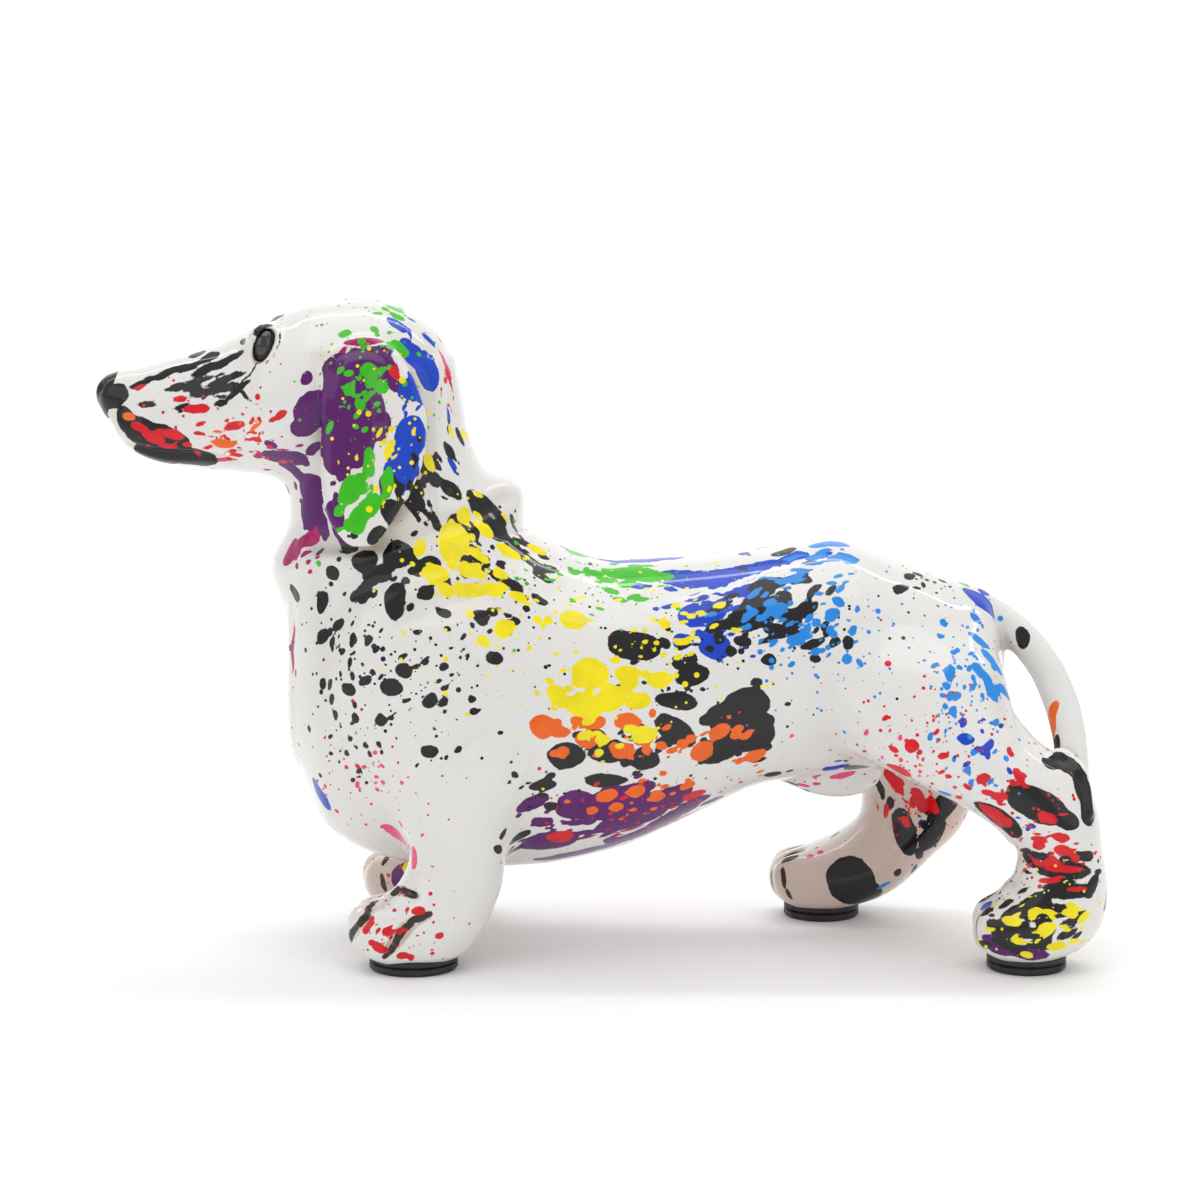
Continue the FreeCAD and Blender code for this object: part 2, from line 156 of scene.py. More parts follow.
def swept(along, stations, side=0, squareness=2.0, rounding=(3.0, 3.0), step=0.5, reach=6):
    """A form with elliptical sections across X or Z, its low and high ends rounded."""
    rows = np.array([(*row[:3], 0, row[3]) if along == "x" else row for row in stations], float)
    rows = rows[rows[:, 0].argsort()]
    first = rows[0, 0]
    last = rows[-1, 0]
    at = np.arange(first, last + step / 2, step)
    low, high, middle, half = (
        soften(curve_through(rows[:, 0], rows[:, k], at), reach) for k in (1, 2, 3, 4))
    across = (low + high) / 2
    tall = (high - low) / 2

    def distance(x, y, z):
        here, over = (x, z) if along == "x" else (z, x)
        centre, reach_over, shift, reach_y = (
            np.interp(here.ravel(), at, v).reshape(here.shape) for v in (across, tall, middle, half))
        u = np.abs(on_side(y, side) - shift) / reach_y
        v = np.abs(over - centre) / reach_over
        r = (u ** squareness + v ** squareness) ** (1 / squareness) + 1e-6
        slope_y = (u / r) ** (squareness - 1) / reach_y
        slope_over = (v / r) ** (squareness - 1) / reach_over
        slope_here = np.gradient(r, here.ravel(), axis=0 if along == "x" else 2)
        edge = np.where(here < (first + last) / 2, *rounding)
        beside = (r - 1) / np.sqrt(slope_y ** 2 + slope_over ** 2 + slope_here ** 2) + edge
        beyond = np.maximum(first - here, here - last) + edge
        return (np.minimum(np.maximum(beside, beyond), 0)
                + np.hypot(np.maximum(beside, 0), np.maximum(beyond, 0)) - edge)

    widest = (middle + half).max()
    y_low = -widest if side != RIGHT else 0
    y_high = widest if side != LEFT else 0
    if along == "x":
        return (first, y_low, low.min()), (last, y_high, high.max()), distance
    return (low.min(), y_low, first), (high.max(), y_high, last), distance


def strand(points, radii, side=0, spacing=1.5):
    """A round strand along a smooth line through points, its radius changing evenly."""
    points = np.array(points, float)
    radii = np.broadcast_to(np.array(radii, float), len(points))
    run = np.concatenate([[0], np.cumsum(np.linalg.norm(np.diff(points, axis=0), axis=1))])
    at = np.linspace(0, run[-1], max(2, int(run[-1] / spacing) + 1))
    reach = max(1, min(3, len(at) // 3))
    line = np.array([soften(np.interp(at, run, points[:, k]), reach) if len(at) > 2 * reach + 2
                     else np.interp(at, run, points[:, k]) for k in range(3)]).T
    thick = np.interp(at, run, radii)

    def distance(x, y, z):
        y = on_side(y, side)
        best = np.full(np.broadcast_shapes(x.shape, y.shape, z.shape), FAR, np.float32)
        for a, b, ra, rb in zip(line[:-1], line[1:], thick[:-1], thick[1:]):
            way = b - a
            t = ((x - a[0]) * way[0] + (y - a[1]) * way[1] + (z - a[2]) * way[2]) / (way @ way)
            t = np.clip(t, 0, 1)
            gap = np.sqrt((x - a[0] - t * way[0]) ** 2 + (y - a[1] - t * way[1]) ** 2
                          + (z - a[2] - t * way[2]) ** 2) - (ra + (rb - ra) * t)
            best = np.minimum(best, gap)
        return best

    low = (line - thick[:, None]).min(axis=0)
    high = (line + thick[:, None]).max(axis=0)
    if side == "both":
        low[1] = -high[1]
    elif side == LEFT:
        low[1], high[1] = -high[1], -low[1]
    return tuple(low), tuple(high), distance


def ball(centre, radii, side=0, tilt=0.0):
    """An ellipsoid, tilted in the XZ plane by degrees."""
    cosine = math.cos(math.radians(tilt))
    sine = math.sin(math.radians(tilt))

    def distance(x, y, z):
        along = (x - centre[0]) * cosine + (z - centre[2]) * sine
        up = (z - centre[2]) * cosine - (x - centre[0]) * sine
        out = on_side(y, side) - centre[1]
        near = np.sqrt((along / radii[0]) ** 2 + (out / radii[1]) ** 2 + (up / radii[2]) ** 2) + 1e-6
        steep = np.sqrt((along / radii[0] ** 2) ** 2 + (out / radii[1] ** 2) ** 2
                        + (up / radii[2] ** 2) ** 2) + 1e-6
        return near * (near - 1) / steep

    size = max(radii)
    y_low, y_high = side_span(centre[1], size, side)
    low = (centre[0] - size, y_low, centre[2] - size)
    high = (centre[0] + size, y_high, centre[2] + size)
    return low, high, distance


def edges(quads):
    """Every face's edges as pairs of vertices: all the first edges, then all the second ones and so on."""
    return np.concatenate([quads[:, [k, (k + 1) % 4]] for k in range(4)])


class Clay:
    """A block of signed distances on an even grid, negative inside the figure."""

    def __init__(self, low, high, pitch):
        self.low = np.array(low, float)
        self.pitch = pitch
        self.shape = np.ceil((np.array(high) - self.low) / pitch).astype(int) + 1
        self.field = np.full(self.shape, FAR, np.float32)
        self.owner = np.zeros(self.shape, np.int8)

    def window(self, low, high, margin):
        """The part of the grid round a box, and its x, y and z ready to be combined."""
        first = np.floor((np.array(low) - margin - self.low) / self.pitch).astype(int)
        last = np.ceil((np.array(high) + margin - self.low) / self.pitch).astype(int) + 1
        first = np.clip(first, 0, self.shape - 2)
        last = np.clip(last, 2, self.shape)
        lines = [(self.low[k] + self.pitch * np.arange(first[k], last[k])).astype(np.float32)
                 for k in range(3)]
        cut = tuple(slice(a, b) for a, b in zip(first, last))
        return cut, lines[0][:, None, None], lines[1][None, :, None], lines[2][None, None, :]

    def add(self, form, blend=0.0, owner=None):
        """Presses a form on, with a fillet about as wide as `blend`."""
        low, high, distance = form
        cut, x, y, z = self.window(low, high, blend + 2 * self.pitch)
        new = distance(x, y, z).astype(np.float32)
        old = self.field[cut]
        if owner is not None:
            self.owner[cut][new < old] = owner
        share = np.clip(0.5 + 0.5 * (old - new) / max(blend, 1e-3), 0, 1)
        self.field[cut] = old + (new - old) * share - blend * share * (1 - share)

    def carve(self, form, blend=0.0):
        """Takes a form away, with its edges rounded by about `blend`."""
        low, high, distance = form
        cut, x, y, z = self.window(low, high, blend + 2 * self.pitch)
        tool = -distance(x, y, z).astype(np.float32)
        old = self.field[cut]
        share = np.clip(0.5 + 0.5 * (tool - old) / max(blend, 1e-3), 0, 1)
        self.field[cut] = old + (tool - old) * share + blend * share * (1 - share)

    def skin(self, x, z, side, inner=False):
        """The outermost y of the figure on one side at (x, z), or None beside the figure.
        With inner, the first y past the middle, which is the inside of the limb on the other side."""
        i, k = (np.array([x - self.low[0], z - self.low[2]]) / self.pitch).round().astype(int)
        if not (0 <= i < self.shape[0] and 0 <= k < self.shape[2]):
            return None
        column = self.field[i, :, k]
        if side == RIGHT:
            column = column[::-1]
        inside = np.flatnonzero(column < 0)
        if inner:
            inside = inside[inside > len(column) // 2]
        if not len(inside) or column[inside[0] - 1] < 0:
            return None
        j = inside[0]
        place = j - column[j] / (column[j] - column[j - 1])
        if side == RIGHT:
            place = len(column) - 1 - place
        return self.low[1] + place * self.pitch

    def stroke(self, points, radius, height, blend, sides=(LEFT, RIGHT)):
        """Draws on the side of the figure: a raised welt, or a groove where height is negative.
        Both fade at their ends."""
        fade = 0.4 + 0.6 * np.sin(np.linspace(0, math.pi, len(points)))
        for side in sides:
            line = []
            radii = []
            for (x, z), share in zip(points, fade):
                y = self.skin(x, z, side)
                if y is not None:
                    out = (height - radius if height > 0 else radius + height) * share
                    line.append((x, y + side * out, z))
                    radii.append(radius * share)
            if len(line) > 1:
                form = strand(line, radii)
                if height > 0:
                    self.add(form, blend)
                else:
                    self.carve(form, blend)

    def level(self, height):
        """Cuts everything below a height away."""
        z = self.low[2] + self.pitch * np.arange(self.shape[2])
        self.field = np.maximum(self.field, (height - z).astype(np.float32)[None, None, :])

    def sample(self, points):
        """The field at loose points, between the grid's own."""
        place = (points - self.low) / self.pitch
        cell = np.clip(place.astype(int), 0, self.shape - 2)
        part = place - cell
        total = np.zeros(len(points))
        for corner in np.ndindex(2, 2, 2):
            weight = np.prod(np.where(np.array(corner) == 1, part, 1 - part), axis=1)
            i, j, k = (cell + corner).T
            total += weight * self.field[i, j, k]
        return total

    def slope(self, points):
        """The field's gradient at loose points: outward, and close to one."""
        reach = 0.9 * self.pitch
        steps = np.eye(3) * reach
        rise = [self.sample(points + step) - self.sample(points - step) for step in steps]
        return np.stack(rise, axis=1) / (2 * reach)

    def surface(self):
        """Vertices and quads of the figure's skin, laid evenly over the zero level."""
        inside = self.field < 0
        cells = []
        places = []
        strides = np.array([self.shape[1] * self.shape[2], self.shape[2], 1])
        for axis in range(3):
            b, c = [k for k in range(3) if k != axis]
            lower = tuple(slice(0, -1) if k == axis else slice(None) for k in range(3))
            upper = tuple(slice(1, None) if k == axis else slice(None) for k in range(3))
            edge = np.stack(np.nonzero(inside[lower] != inside[upper]), axis=1)
            start = self.field[tuple(edge.T)]
            beyond = edge.copy()
            beyond[:, axis] += 1
            end = self.field[tuple(beyond.T)]
            place = edge.astype(float)
            place[:, axis] += start / (start - end)
            ring = []
            for back_b, back_c in ((1, 1), (0, 1), (0, 0), (1, 0)):
                cell = edge.copy()
                cell[:, b] -= back_b
                cell[:, c] -= back_c
                ring.append(cell @ strides)
            turn = (start < 0) != (axis == 1)
            ring = np.stack(ring, axis=1)
            ring[~turn] = ring[~turn][:, ::-1]
            places.append(np.repeat(place, 4, axis=0))
            cells.append(ring.ravel())
        cells, index = np.unique(np.concatenate(cells), return_inverse=True)
        places = np.concatenate(places)
        share = np.bincount(index)
        points = np.stack([np.bincount(index, places[:, k]) / share for k in range(3)], axis=1)
        quads = index.reshape(-1, 4)
        points = self.low + points * self.pitch
        return self.relaxed(points, quads), quads

    def steepness(self, points, least=0.2):
        """The field's gradient at loose points, and its square, which is kept off zero."""
        slope = self.slope(points)
        return slope, np.maximum((slope ** 2).sum(axis=1), least)

    def relaxed(self, points, quads, rounds=4, pull=0.6):
        """Evens out the quads and brings every vertex back onto the zero level."""
        start, end = edges(quads).T
        count = len(points)
        share = np.bincount(start, minlength=count) + np.bincount(end, minlength=count)
        for _ in range(rounds):
            mean = np.stack([np.bincount(start, points[end, k], count)
                             + np.bincount(end, points[start, k], count) for k in range(3)], axis=1)
            mean /= share[:, None]
            slope, steep = self.steepness(points)
            shift = pull * (mean - points)
            shift -= slope * ((shift * slope).sum(axis=1) / steep)[:, None]
            points = points + shift
            slope, steep = self.steepness(points)
            points = points - slope * (np.clip(self.sample(points), -1, 1) / steep)[:, None]
        return points


# ---------------------------------------------------------------- the dog

EYES = ["eye_left", "eye_right"]
PADS = ["forefoot_left_pad", "forefoot_right_pad", "hind_foot_left_pad", "hind_foot_right_pad"]
PIECES = ["body", "head", "ear_left", "ear_right", "foreleg_left", "foreleg_right",
          "hind_leg_left", "hind_leg_right", "tail"]


def node_box(node):
    """Middle and half size of a CAD node, in millimetres."""
    low, high = (np.array(corner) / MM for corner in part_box(node))
    return (low + high) / 2, (high - low) / 2


def model_dog():
    """The whole dog as one block of clay, which knows the piece that each part of it belongs to."""
    low, high = (np.array(corner) / MM for corner in CAD_BOX)
    margin = 6.0
    clay = Clay(low - margin, high + margin, PITCH)
    own = {name: k for k, name in enumerate(PIECES)}

    # The barrel with the deep chest, the neck and the head.
    clay.add(swept("x", TORSO, rounding=(9, 7)), owner=own["body"])
    clay.add(ball((-78, 0, 77), (17.5, 29, 26)), 9, own["body"])
    clay.add(swept("z", NECK, rounding=(14, 4)), 15, own["body"])
    clay.add(swept("x", HEAD, squareness=2.15), 9, own["head"])
    clay.add(ball((70, 0, 54), (16, 6.8, 9), tilt=-8), 5, own["body"])

    # Legs and tail grow out of it.
    clay.add(ball((-56, 33, 88), (20, 9.5, 26), "both", tilt=-12), 10, own["body"])
    for side, name in ((LEFT, "foreleg_left"), (RIGHT, "foreleg_right")):
        clay.add(swept("z", FORELEG, side, 2.2, (4, 9)), 9, own[name])
    clay.add(swept("z", LEFT_HIND_LEG, LEFT, 2.1, (4, 16)), 11, own["hind_leg_left"])
    clay.add(swept("z", RIGHT_HIND_LEG, RIGHT, 2.1, (4, 16)), 11, own["hind_leg_right"])
    clay.add(strand([row[:3] for row in TAIL], [row[3] for row in TAIL]), 2.5, own["tail"])
    model_head(clay, own)
    model_neck_folds(clay, own)
    model_ears(clay, own)
    model_legs(clay, own)
    clay.level(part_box("foreleg_left")[0].z / MM - SOLE_LIP)
    return clay


def model_head(clay, own):
    """Nose, nostrils, lips, cheeks, mouth and the lids round the eyes."""
    clay.add(ball((-144.2, 0, 168.4), (4.6, 5.4, 4), tilt=30), 7, own["head"])
    clay.carve(ball((-149.0, 3.2, 170.2), (1.6, 1.3, 1.2), "both"), 1.2)
    clay.add(ball((-133, 5.5, 156.5), (12, 5.8, 6.5), "both", tilt=-20), 4, own["head"])
    clay.add(ball((-88, 14, 168), (15, 10.5, 14), "both"), 9, own["head"])
    mouth = [(-141.5, 154.2), (-137, 152.4), (-130, 151), (-122, 150.5), (-114, 150.2), (-107.5, 148.6)]
    clay.stroke(mouth, 1.5, -1.3, 1.4)

    # Lids: a shell over the eye, hollowed for it and opened in an almond that leans back.
    lid = 1.2
    play = 0.15
    (x, y, z), half = node_box("eye_left")
    clay.add(ball((x, -y, z), half + lid, "both"), 4, own["head"])
    clay.carve(ball((x, -y, z), half + play, "both"), 0.3)
    clay.carve(ball((x + 0.3, 6 - y, z + 0.6), (2.7, 8, 5.8), "both", tilt=-24), 0.8)


def model_neck_folds(clay, own):
    """The roll of loose skin where the neck meets the shoulders, and the creases beside it."""
    tilt = math.radians(16)
    length = 31.5
    width = 27.5
    turns = np.linspace(0, 2 * math.pi, 48)
    roll = [(-62.5 + length * math.cos(t) * math.cos(tilt), width * math.sin(t),
             124.5 + length * math.cos(t) * math.sin(tilt)) for t in turns]
    thick = [2.8 + 3.2 * math.cos(t) ** 4 for t in turns]
    clay.add(strand(roll, thick, spacing=3), 8, own["body"])
    clay.add(ball((-30, 0, 135.5), (6.5, 13, 8), tilt=-25), 5, own["body"])
    crease = [(-84, 126), (-73, 126.5), (-60, 128.5), (-49.5, 131.5), (-38, 134), (-27, 139)]
    clay.stroke(crease, 2.2, -1.2, 5)
    clay.stroke([(-58, 107), (-47, 110.5), (-34, 113.5)], 2.6, -0.5, 7)


def model_ears(clay, own):
    """Flaps that hang beside the cheek, with a rolled edge and a fold from the root."""
    for side, name in ((LEFT, "ear_left"), (RIGHT, "ear_right")):
        clay.add(swept("z", EAR, side, 2.4, (1.5, 1.5)), 1.6, own[name])
        edge = [(-80.5, 165), (-80.8, 176), (-77, 183.5), (-69, 186), (-61, 182), (-55.5, 173),
                (-52.5, 163), (-53, 152), (-57, 141)]
        clay.stroke(edge, 1.8, 1.5, 2.2, [side])
        clay.stroke([(-69, 176), (-68.5, 162), (-70, 146)], 4, -1.2, 6, [side])


def model_legs(clay, own):
    """Elbows, toes with the grooves between them, and the near hock's ridge.
    What both forelegs share is marked as the left one's; owners() gives the far side its half."""
    clay.add(ball((-31, 37, 64), (8, 8, 14), "both", tilt=-15), 8, own["foreleg_left"])
    for y, x in ((43.5, -63.5), (36, -66), (27.5, -64.5)):
        clay.add(ball((x, y, 12), (9.5, 4.6, 7.2), "both", tilt=-35), 3, own["foreleg_left"])
    for toe in TOE_GROOVES:
        clay.stroke(toe, 1.9, -2.3, 1.4)
    clay.carve(strand([(-72.5, 31, 6), (-71.5, 30.5, 12), (-64, 30, 19.5), (-58, 30, 24)], 1.4, "both"), 1.4)
    for front, side in ((111.5, LEFT), (54.5, RIGHT)):
        for y in (27.5, 34, 40.5):
            clay.add(ball((front + 9, y, 12), (9.5, 4, 7), side, tilt=-35), 3,
                     own["hind_leg_left" if side == LEFT else "hind_leg_right"])
        for y in (30.8, 37.4):
            gap = [(front - 0.5, y, 6), (front + 1, y, 14), (front + 9, y, 21.5)]
            clay.carve(strand(gap, 1.2, side), 1.4)
    clay.stroke([(132.5, 64), (137, 62.8), (141.5, 58.5), (144, 48)], 3.6, 2.4, 1.0, [LEFT])


# ---------------------------------------------------------------- the paint

# The splashes' colours in sRGB, in the order in which they lie on each other. The white is partly a painted
# highlight.
COLOURS = {
    "stain": (52, 38, 33), "pink": (240, 70, 130), "magenta": (178, 0, 102), "purple": (90, 0, 104),
    "blue": (0, 66, 200), "black": (18, 16, 20), "sky": (30, 142, 232), "red": (226, 0, 24),
    "orange": (250, 104, 0), "green": (58, 196, 8), "yellow": (255, 236, 0), "white": (240, 240, 240)}

# Single drops on the dog's left side: (x, z, radius, stretch, tilt in degrees).
DROPS = {
    "black": [
        (-145, 168, 3.4, 1.5, 25), (-141, 161, 3, 1.7, -50), (-136, 157, 4.6, 1.6, -35),
        (-129, 155, 4.6, 1.7, -22), (-132, 150, 4, 2, -10), (-122, 150, 3.5, 2.2, -5),
        (-126, 176, 1.5, 7, 12), (-113, 178, 1.6, 6, 14), (-111, 174, 1.3, 5, 14), (-124, 171, 1, 6, 6),
        (-114, 170.5, 1.4, 6, 10), (-137, 172, 1.1, 3, 20), (-135, 166, 0.8, 4, -3),
        (-107, 171, 1.2, 4.5, 28), (-119, 173.5, 0.8, 6, 10), (-112, 167, 0.7, 4, 20),
        (-60, 136, 3.2, 1.6, -50), (-55, 140, 2.8, 1.8, -50), (-65, 130, 2.6, 1.3, 40),
        (-45, 153, 1.8, 2, -45), (-50, 146, 2, 2, -50), (-44, 142, 2.4, 1.8, -30), (-34, 135, 4, 2, -35),
        (-40, 131, 3.4, 1.6, -30), (-31, 129, 3.4, 1.6, -15), (-22, 121, 1.8, 4, -38),
        (-28, 116, 1.5, 4, -25), (-17, 116, 1.3, 3, -38), (-37, 121, 1.8, 3, -5), (-59, 124, 4, 1.2, 0),
        (-69, 122, 3.4, 1.2, 10), (-64, 118, 2.4, 1.2, 0), (-69, 113, 2.6, 1.5, 80),
        (-60, 111, 3.2, 1.8, 85), (-51, 113, 2.4, 1.3, 30), (-74, 125, 2, 1.5, -20),
        (-52, 120, 2.4, 1.5, -30), (-82, 109, 2.2, 1.6, 80), (-82, 99, 2, 1.4, 60), (-77, 103, 2, 1.2, 30),
        (-74, 85, 2.2, 1.2, -20), (-69, 88, 1.6, 1.4, 20), (-57, 91, 2.2, 1.2, -30),
        (-61, 86, 2.6, 1.2, 10), (-64, 76, 1.8, 1.2, 0), (-50, 82, 1.8, 1.4, 40), (-50, 67, 2.2, 1.2, 0),
        (-35, 106, 2.2, 1.2, 0), (-31, 94, 2.2, 1.3, -30), (10, 97, 4.6, 1.7, -8), (-10, 65, 4, 1.4, 0),
        (3, 66, 3.6, 2, -4), (22, 72, 3.6, 2, -35), (22, 81, 2.6, 2.4, -5), (43, 79, 5.6, 1.3, 8),
        (45, 70, 6.4, 1.1, 0), (37, 74, 4.4, 1.1, 0), (37, 66, 4.5, 1.2, 30), (47, 73, 4, 1.2, 0),
        (-17, 56, 2.2, 1.8, 0), (-24, 39, 1.8, 2, 10), (-25, 34, 1.4, 2.6, 5), (-14, 49, 1.6, 1.8, 0),
        (2, 57, 2.2, 3, -4), (-2, 70, 3, 1.4, 0), (13, 63, 3, 1.6, 0), (27, 88, 3.4, 1.6, 10),
        (33, 63, 2.6, 1.6, -10), (50, 113.5, 2.6, 2.6, 20), (47, 106.5, 4.2, 1.5, 30),
        (44, 102.5, 2.4, 2.2, 5), (53, 108.5, 3, 1.6, 60), (59.5, 114.5, 2.2, 1.6, -20),
        (63, 111.5, 1.1, 3.6, 65), (68.5, 112, 1.5, 1.5, 60), (57.5, 106, 1.3, 1.6, 50),
        (50, 98.5, 0.9, 4.4, 20), (62.5, 97, 1.3, 3, 25), (69, 97.5, 1.5, 1.4, 50),
        (49.5, 92.5, 1.8, 1.2, 15), (66.5, 102, 1.1, 1.8, 60), (63.5, 92.8, 1.4, 1.2, 0),
        (35, 102, 1.6, 2.6, 25), (38.5, 95, 1.5, 1.2, 0), (73, 97.5, 1.7, 1.4, 80), (55, 121, 2, 2.2, 25),
        (62, 119, 1.4, 2, 30), (46, 86, 1.5, 1.3, 0), (96.5, 112, 0.9, 1.6, 80), (99, 115.5, 0.7, 1, 0),
        (103, 112, 0.8, 2, -40), (105.5, 111, 0.6, 1.8, 60), (127.4, 95, 2, 1.8, -78),
        (128, 52, 4.9, 2.1, -25), (117, 47, 3.6, 2.3, -37), (137, 47, 3, 1.5, -20),
        (137, 62, 2.4, 2.2, -40), (142, 54, 2, 3, -70), (127, 35, 2, 1.5, 10), (143, 36, 2, 1.6, 0),
        (136, 32, 2.4, 3.6, -2), (139, 26, 2.4, 3, 5), (145, 28, 2, 1.6, 40), (127, 23, 2.6, 2.4, 20),
        (121, 20, 1.4, 3, 30), (118, 14, 2.6, 2, -25), (128, 14, 2, 2.6, -10), (139, 18, 1.6, 3, 20),
        (114, 19, 1.8, 1.6, 50), (133, 20, 1.4, 4, 12), (95, 29, 3.6, 2.2, -75), (107, 37, 4, 1.8, 50),
        (104, 28, 3.4, 1.8, 55), (78.5, 13.5, 7.4, 1.2, -60), (83, 9, 5.4, 1.2, -40), (93, 16, 1.6, 1, 0),
        (87.5, 43, 1.2, 3.4, -80), (77.5, 56, 2.8, 1.5, -30), (58, 50, 1.1, 2.6, -35),
        (62, 47, 0.8, 3, -20)],
    "purple": [
        (-84, 166, 5.4, 1.3, 40), (-87, 161, 3.2, 1.4, 30), (-81, 159, 2.2, 1.6, 70),
        (-75.5, 176, 6, 1.3, 85), (-68, 182, 2.4, 3, 0), (-66, 177, 5.6, 1.2, 60), (-71, 166, 8, 1.1, 90),
        (-74, 157, 8, 1.1, 10), (-78, 151, 3, 1.3, -60), (-65, 161, 3.6, 1.5, 60),
        (-61, 175, 2.4, 1.8, -60), (-63.5, 144, 1, 3.4, 82), (-93, 151, 3.4, 2.2, 6),
        (-91, 146.5, 2, 2.6, -25), (-97, 155, 1.4, 1.6, 20), (-86, 142, 4.4, 1.2, 0),
        (-86, 135, 4.8, 1.2, 80), (-82, 131, 2.2, 1.8, -60), (-78, 135, 3.6, 1.3, 80),
        (-76, 129, 2.8, 1.8, -60), (-7, 49, 5.6, 1.1, 0), (3, 49, 6.6, 1.3, 10), (13, 45, 6, 1.5, 15),
        (22, 50, 4.8, 1.4, 50), (13, 37.5, 4, 3.2, 16), (22, 42.5, 3.6, 2.6, 24), (28, 47, 3, 2, 24),
        (6, 42, 4, 2, 10), (-15, 36.5, 4.6, 2, 12), (-6, 31, 3, 5, 8), (-18, 44, 2.2, 1.4, -10),
        (1.5, 38, 1, 2, 0), (117, 9.5, 2.8, 2.2, -14), (126, 7.5, 2.6, 2.4, -6)],
    "magenta": [
        (-69, 185.5, 1.4, 4.6, 2), (-62.5, 179.5, 2.2, 2.6, -50), (-59, 173, 1.4, 2, -60),
        (-76, 182, 1, 3, 60), (-87, 127, 2.4, 3.2, 15), (-92, 122, 3.2, 1.4, 50), (-91.5, 94, 1, 8, 88),
        (4, 31, 1.4, 5, 8), (24, 40, 1.4, 4, 24), (-14, 29.5, 1.4, 4, 6)],
    "pink": [
        (-59.5, 38, 2.6, 3, -30), (-55, 34.5, 2, 1.8, -60), (-64, 41, 0.8, 3, -20), (-70, 61, 0.7, 1.8, 20),
        (-64, 62, 0.6, 1.6, -10), (-66, 58.5, 0.6, 1.6, 30), (-58, 57, 0.7, 1.2, 0),
        (73.5, 53, 1.6, 2.6, 20), (62, 49.5, 1, 2, -10), (66, 50, 0.8, 1.8, 10), (-112, 149.5, 0.7, 6, 0),
        (-46, 178, 1, 5, -66)],
    "blue": [
        (-60, 190, 2.2, 1.8, -50), (-55, 181, 3.8, 1.6, -60), (-51, 177, 4.2, 1.6, -80),
        (-53, 172, 4, 1.2, -50), (-51, 185, 1.3, 2.2, -70), (-56, 187.5, 0.8, 2.4, 85),
        (-55.5, 158, 4.8, 1.4, 80), (-58, 150, 4.8, 1.3, 70), (-58, 144, 1.8, 1.8, 85),
        (-45.5, 162.5, 0.9, 3.8, 88), (-43.5, 148.5, 1.2, 2.4, -65), (12, 118, 2, 7, -2),
        (31, 119.5, 3.4, 4.4, 4), (33, 115, 4.2, 3.6, 4), (23, 115, 3.6, 2.4, -6),
        (47, 117.5, 3.4, 3.2, 18), (58, 120.5, 2.6, 1.7, 40), (45, 112.5, 1.8, 3, 18),
        (37, 111.5, 1.4, 3.4, 14), (12, 112.5, 1.4, 2.6, -6), (21, 111.5, 1, 2.2, -20),
        (29, 109.5, 1, 3.6, 8), (20, 107.5, 0.9, 2.4, 4), (30, 105.5, 4.2, 1.8, 12), (34, 96.5, 4, 1.2, 0),
        (24.5, 98, 2.8, 1.1, 0), (16.5, 107, 0.9, 1, 0), (66, 121, 1.6, 2.4, 14),
        (114.5, 106.5, 3.6, 1.8, -55), (107, 71, 1.7, 1.4, 10), (113, 68.5, 1.6, 2, 60),
        (119.5, 62, 0.9, 1.6, -60), (69.5, 56.5, 2.4, 1.1, 0), (72.5, 57.5, 1.8, 1.5, 20),
        (121, 53.5, 1.4, 2.2, -50), (114.5, 19.5, 1.6, 1.4, 20), (100.5, 32, 1.3, 1.1, 0),
        (-83.5, 49.5, 3, 1.9, -58)],
    "sky": [
        (52, 106.5, 1.8, 2, 20), (48, 104.5, 1.2, 2, 15), (50, 108.5, 1.5, 1.3, 0), (58, 98, 2.2, 1.3, 10),
        (60.5, 101, 1.2, 1.8, 55), (63.5, 95, 1.5, 1, 0), (56, 91.5, 1, 1.3, 20), (68.5, 105.5, 2, 1.3, 60),
        (70.5, 109, 1.4, 1.2, 0), (71.5, 112, 1.1, 1.6, 60), (68, 101, 1.1, 1.4, 50),
        (73, 92.8, 1.4, 1.2, 0), (76.5, 92, 0.9, 1.4, -70), (76, 107, 0.9, 1.6, 60),
        (69, 124, 2.4, 2.6, 10), (74, 120.5, 2.2, 1.6, -40), (63, 120.5, 1.6, 1.4, 0),
        (112, 102.5, 1.5, 1.4, -60), (109, 100.5, 0.6, 1.6, 60), (113, 96, 1.8, 2, -50),
        (116, 91.5, 1.7, 3, -70), (112, 89.5, 1.9, 1.6, -85), (114.5, 85, 1.9, 3.2, -80),
        (117.5, 83, 0.7, 4, -85), (103, 89, 1.5, 2, 80), (101.5, 86, 1, 1.3, 0), (104.5, 83, 1.4, 1.3, 30),
        (100, 84, 0.8, 1.6, -50), (103.5, 79, 1, 1.6, 60), (102, 74, 0.7, 1.2, 0), (98.5, 71, 0.6, 1.6, 80),
        (106.5, 62, 0.6, 1.4, 70), (89, 12, 0.8, 3, 30)],
    "red": [
        (-137, 159, 1.3, 2.2, -20), (-133, 156, 1.5, 2.4, -15), (-127, 157, 1.3, 2.4, -10),
        (-129, 153.5, 1, 3, -12), (-123, 154, 0.9, 2, -10), (-125, 168, 1, 2.6, 0),
        (-120, 165, 1.2, 3.6, 5), (-108, 160, 1.2, 3, 18), (-94, 164, 1.2, 2.2, 45),
        (-108, 151, 0.9, 2.5, 5), (-137, 171, 0.7, 3, 20), (-101, 156, 1.1, 1.5, 20),
        (-94, 149.5, 1, 1.6, 20), (-60, 177, 1.3, 2.6, -60), (-45, 174, 0.6, 9, -66),
        (-12, 38, 2.6, 1.6, 10), (28, 50, 2, 2, 20), (91, 69, 2, 1.1, 0), (112, 60, 1.7, 1.3, 30),
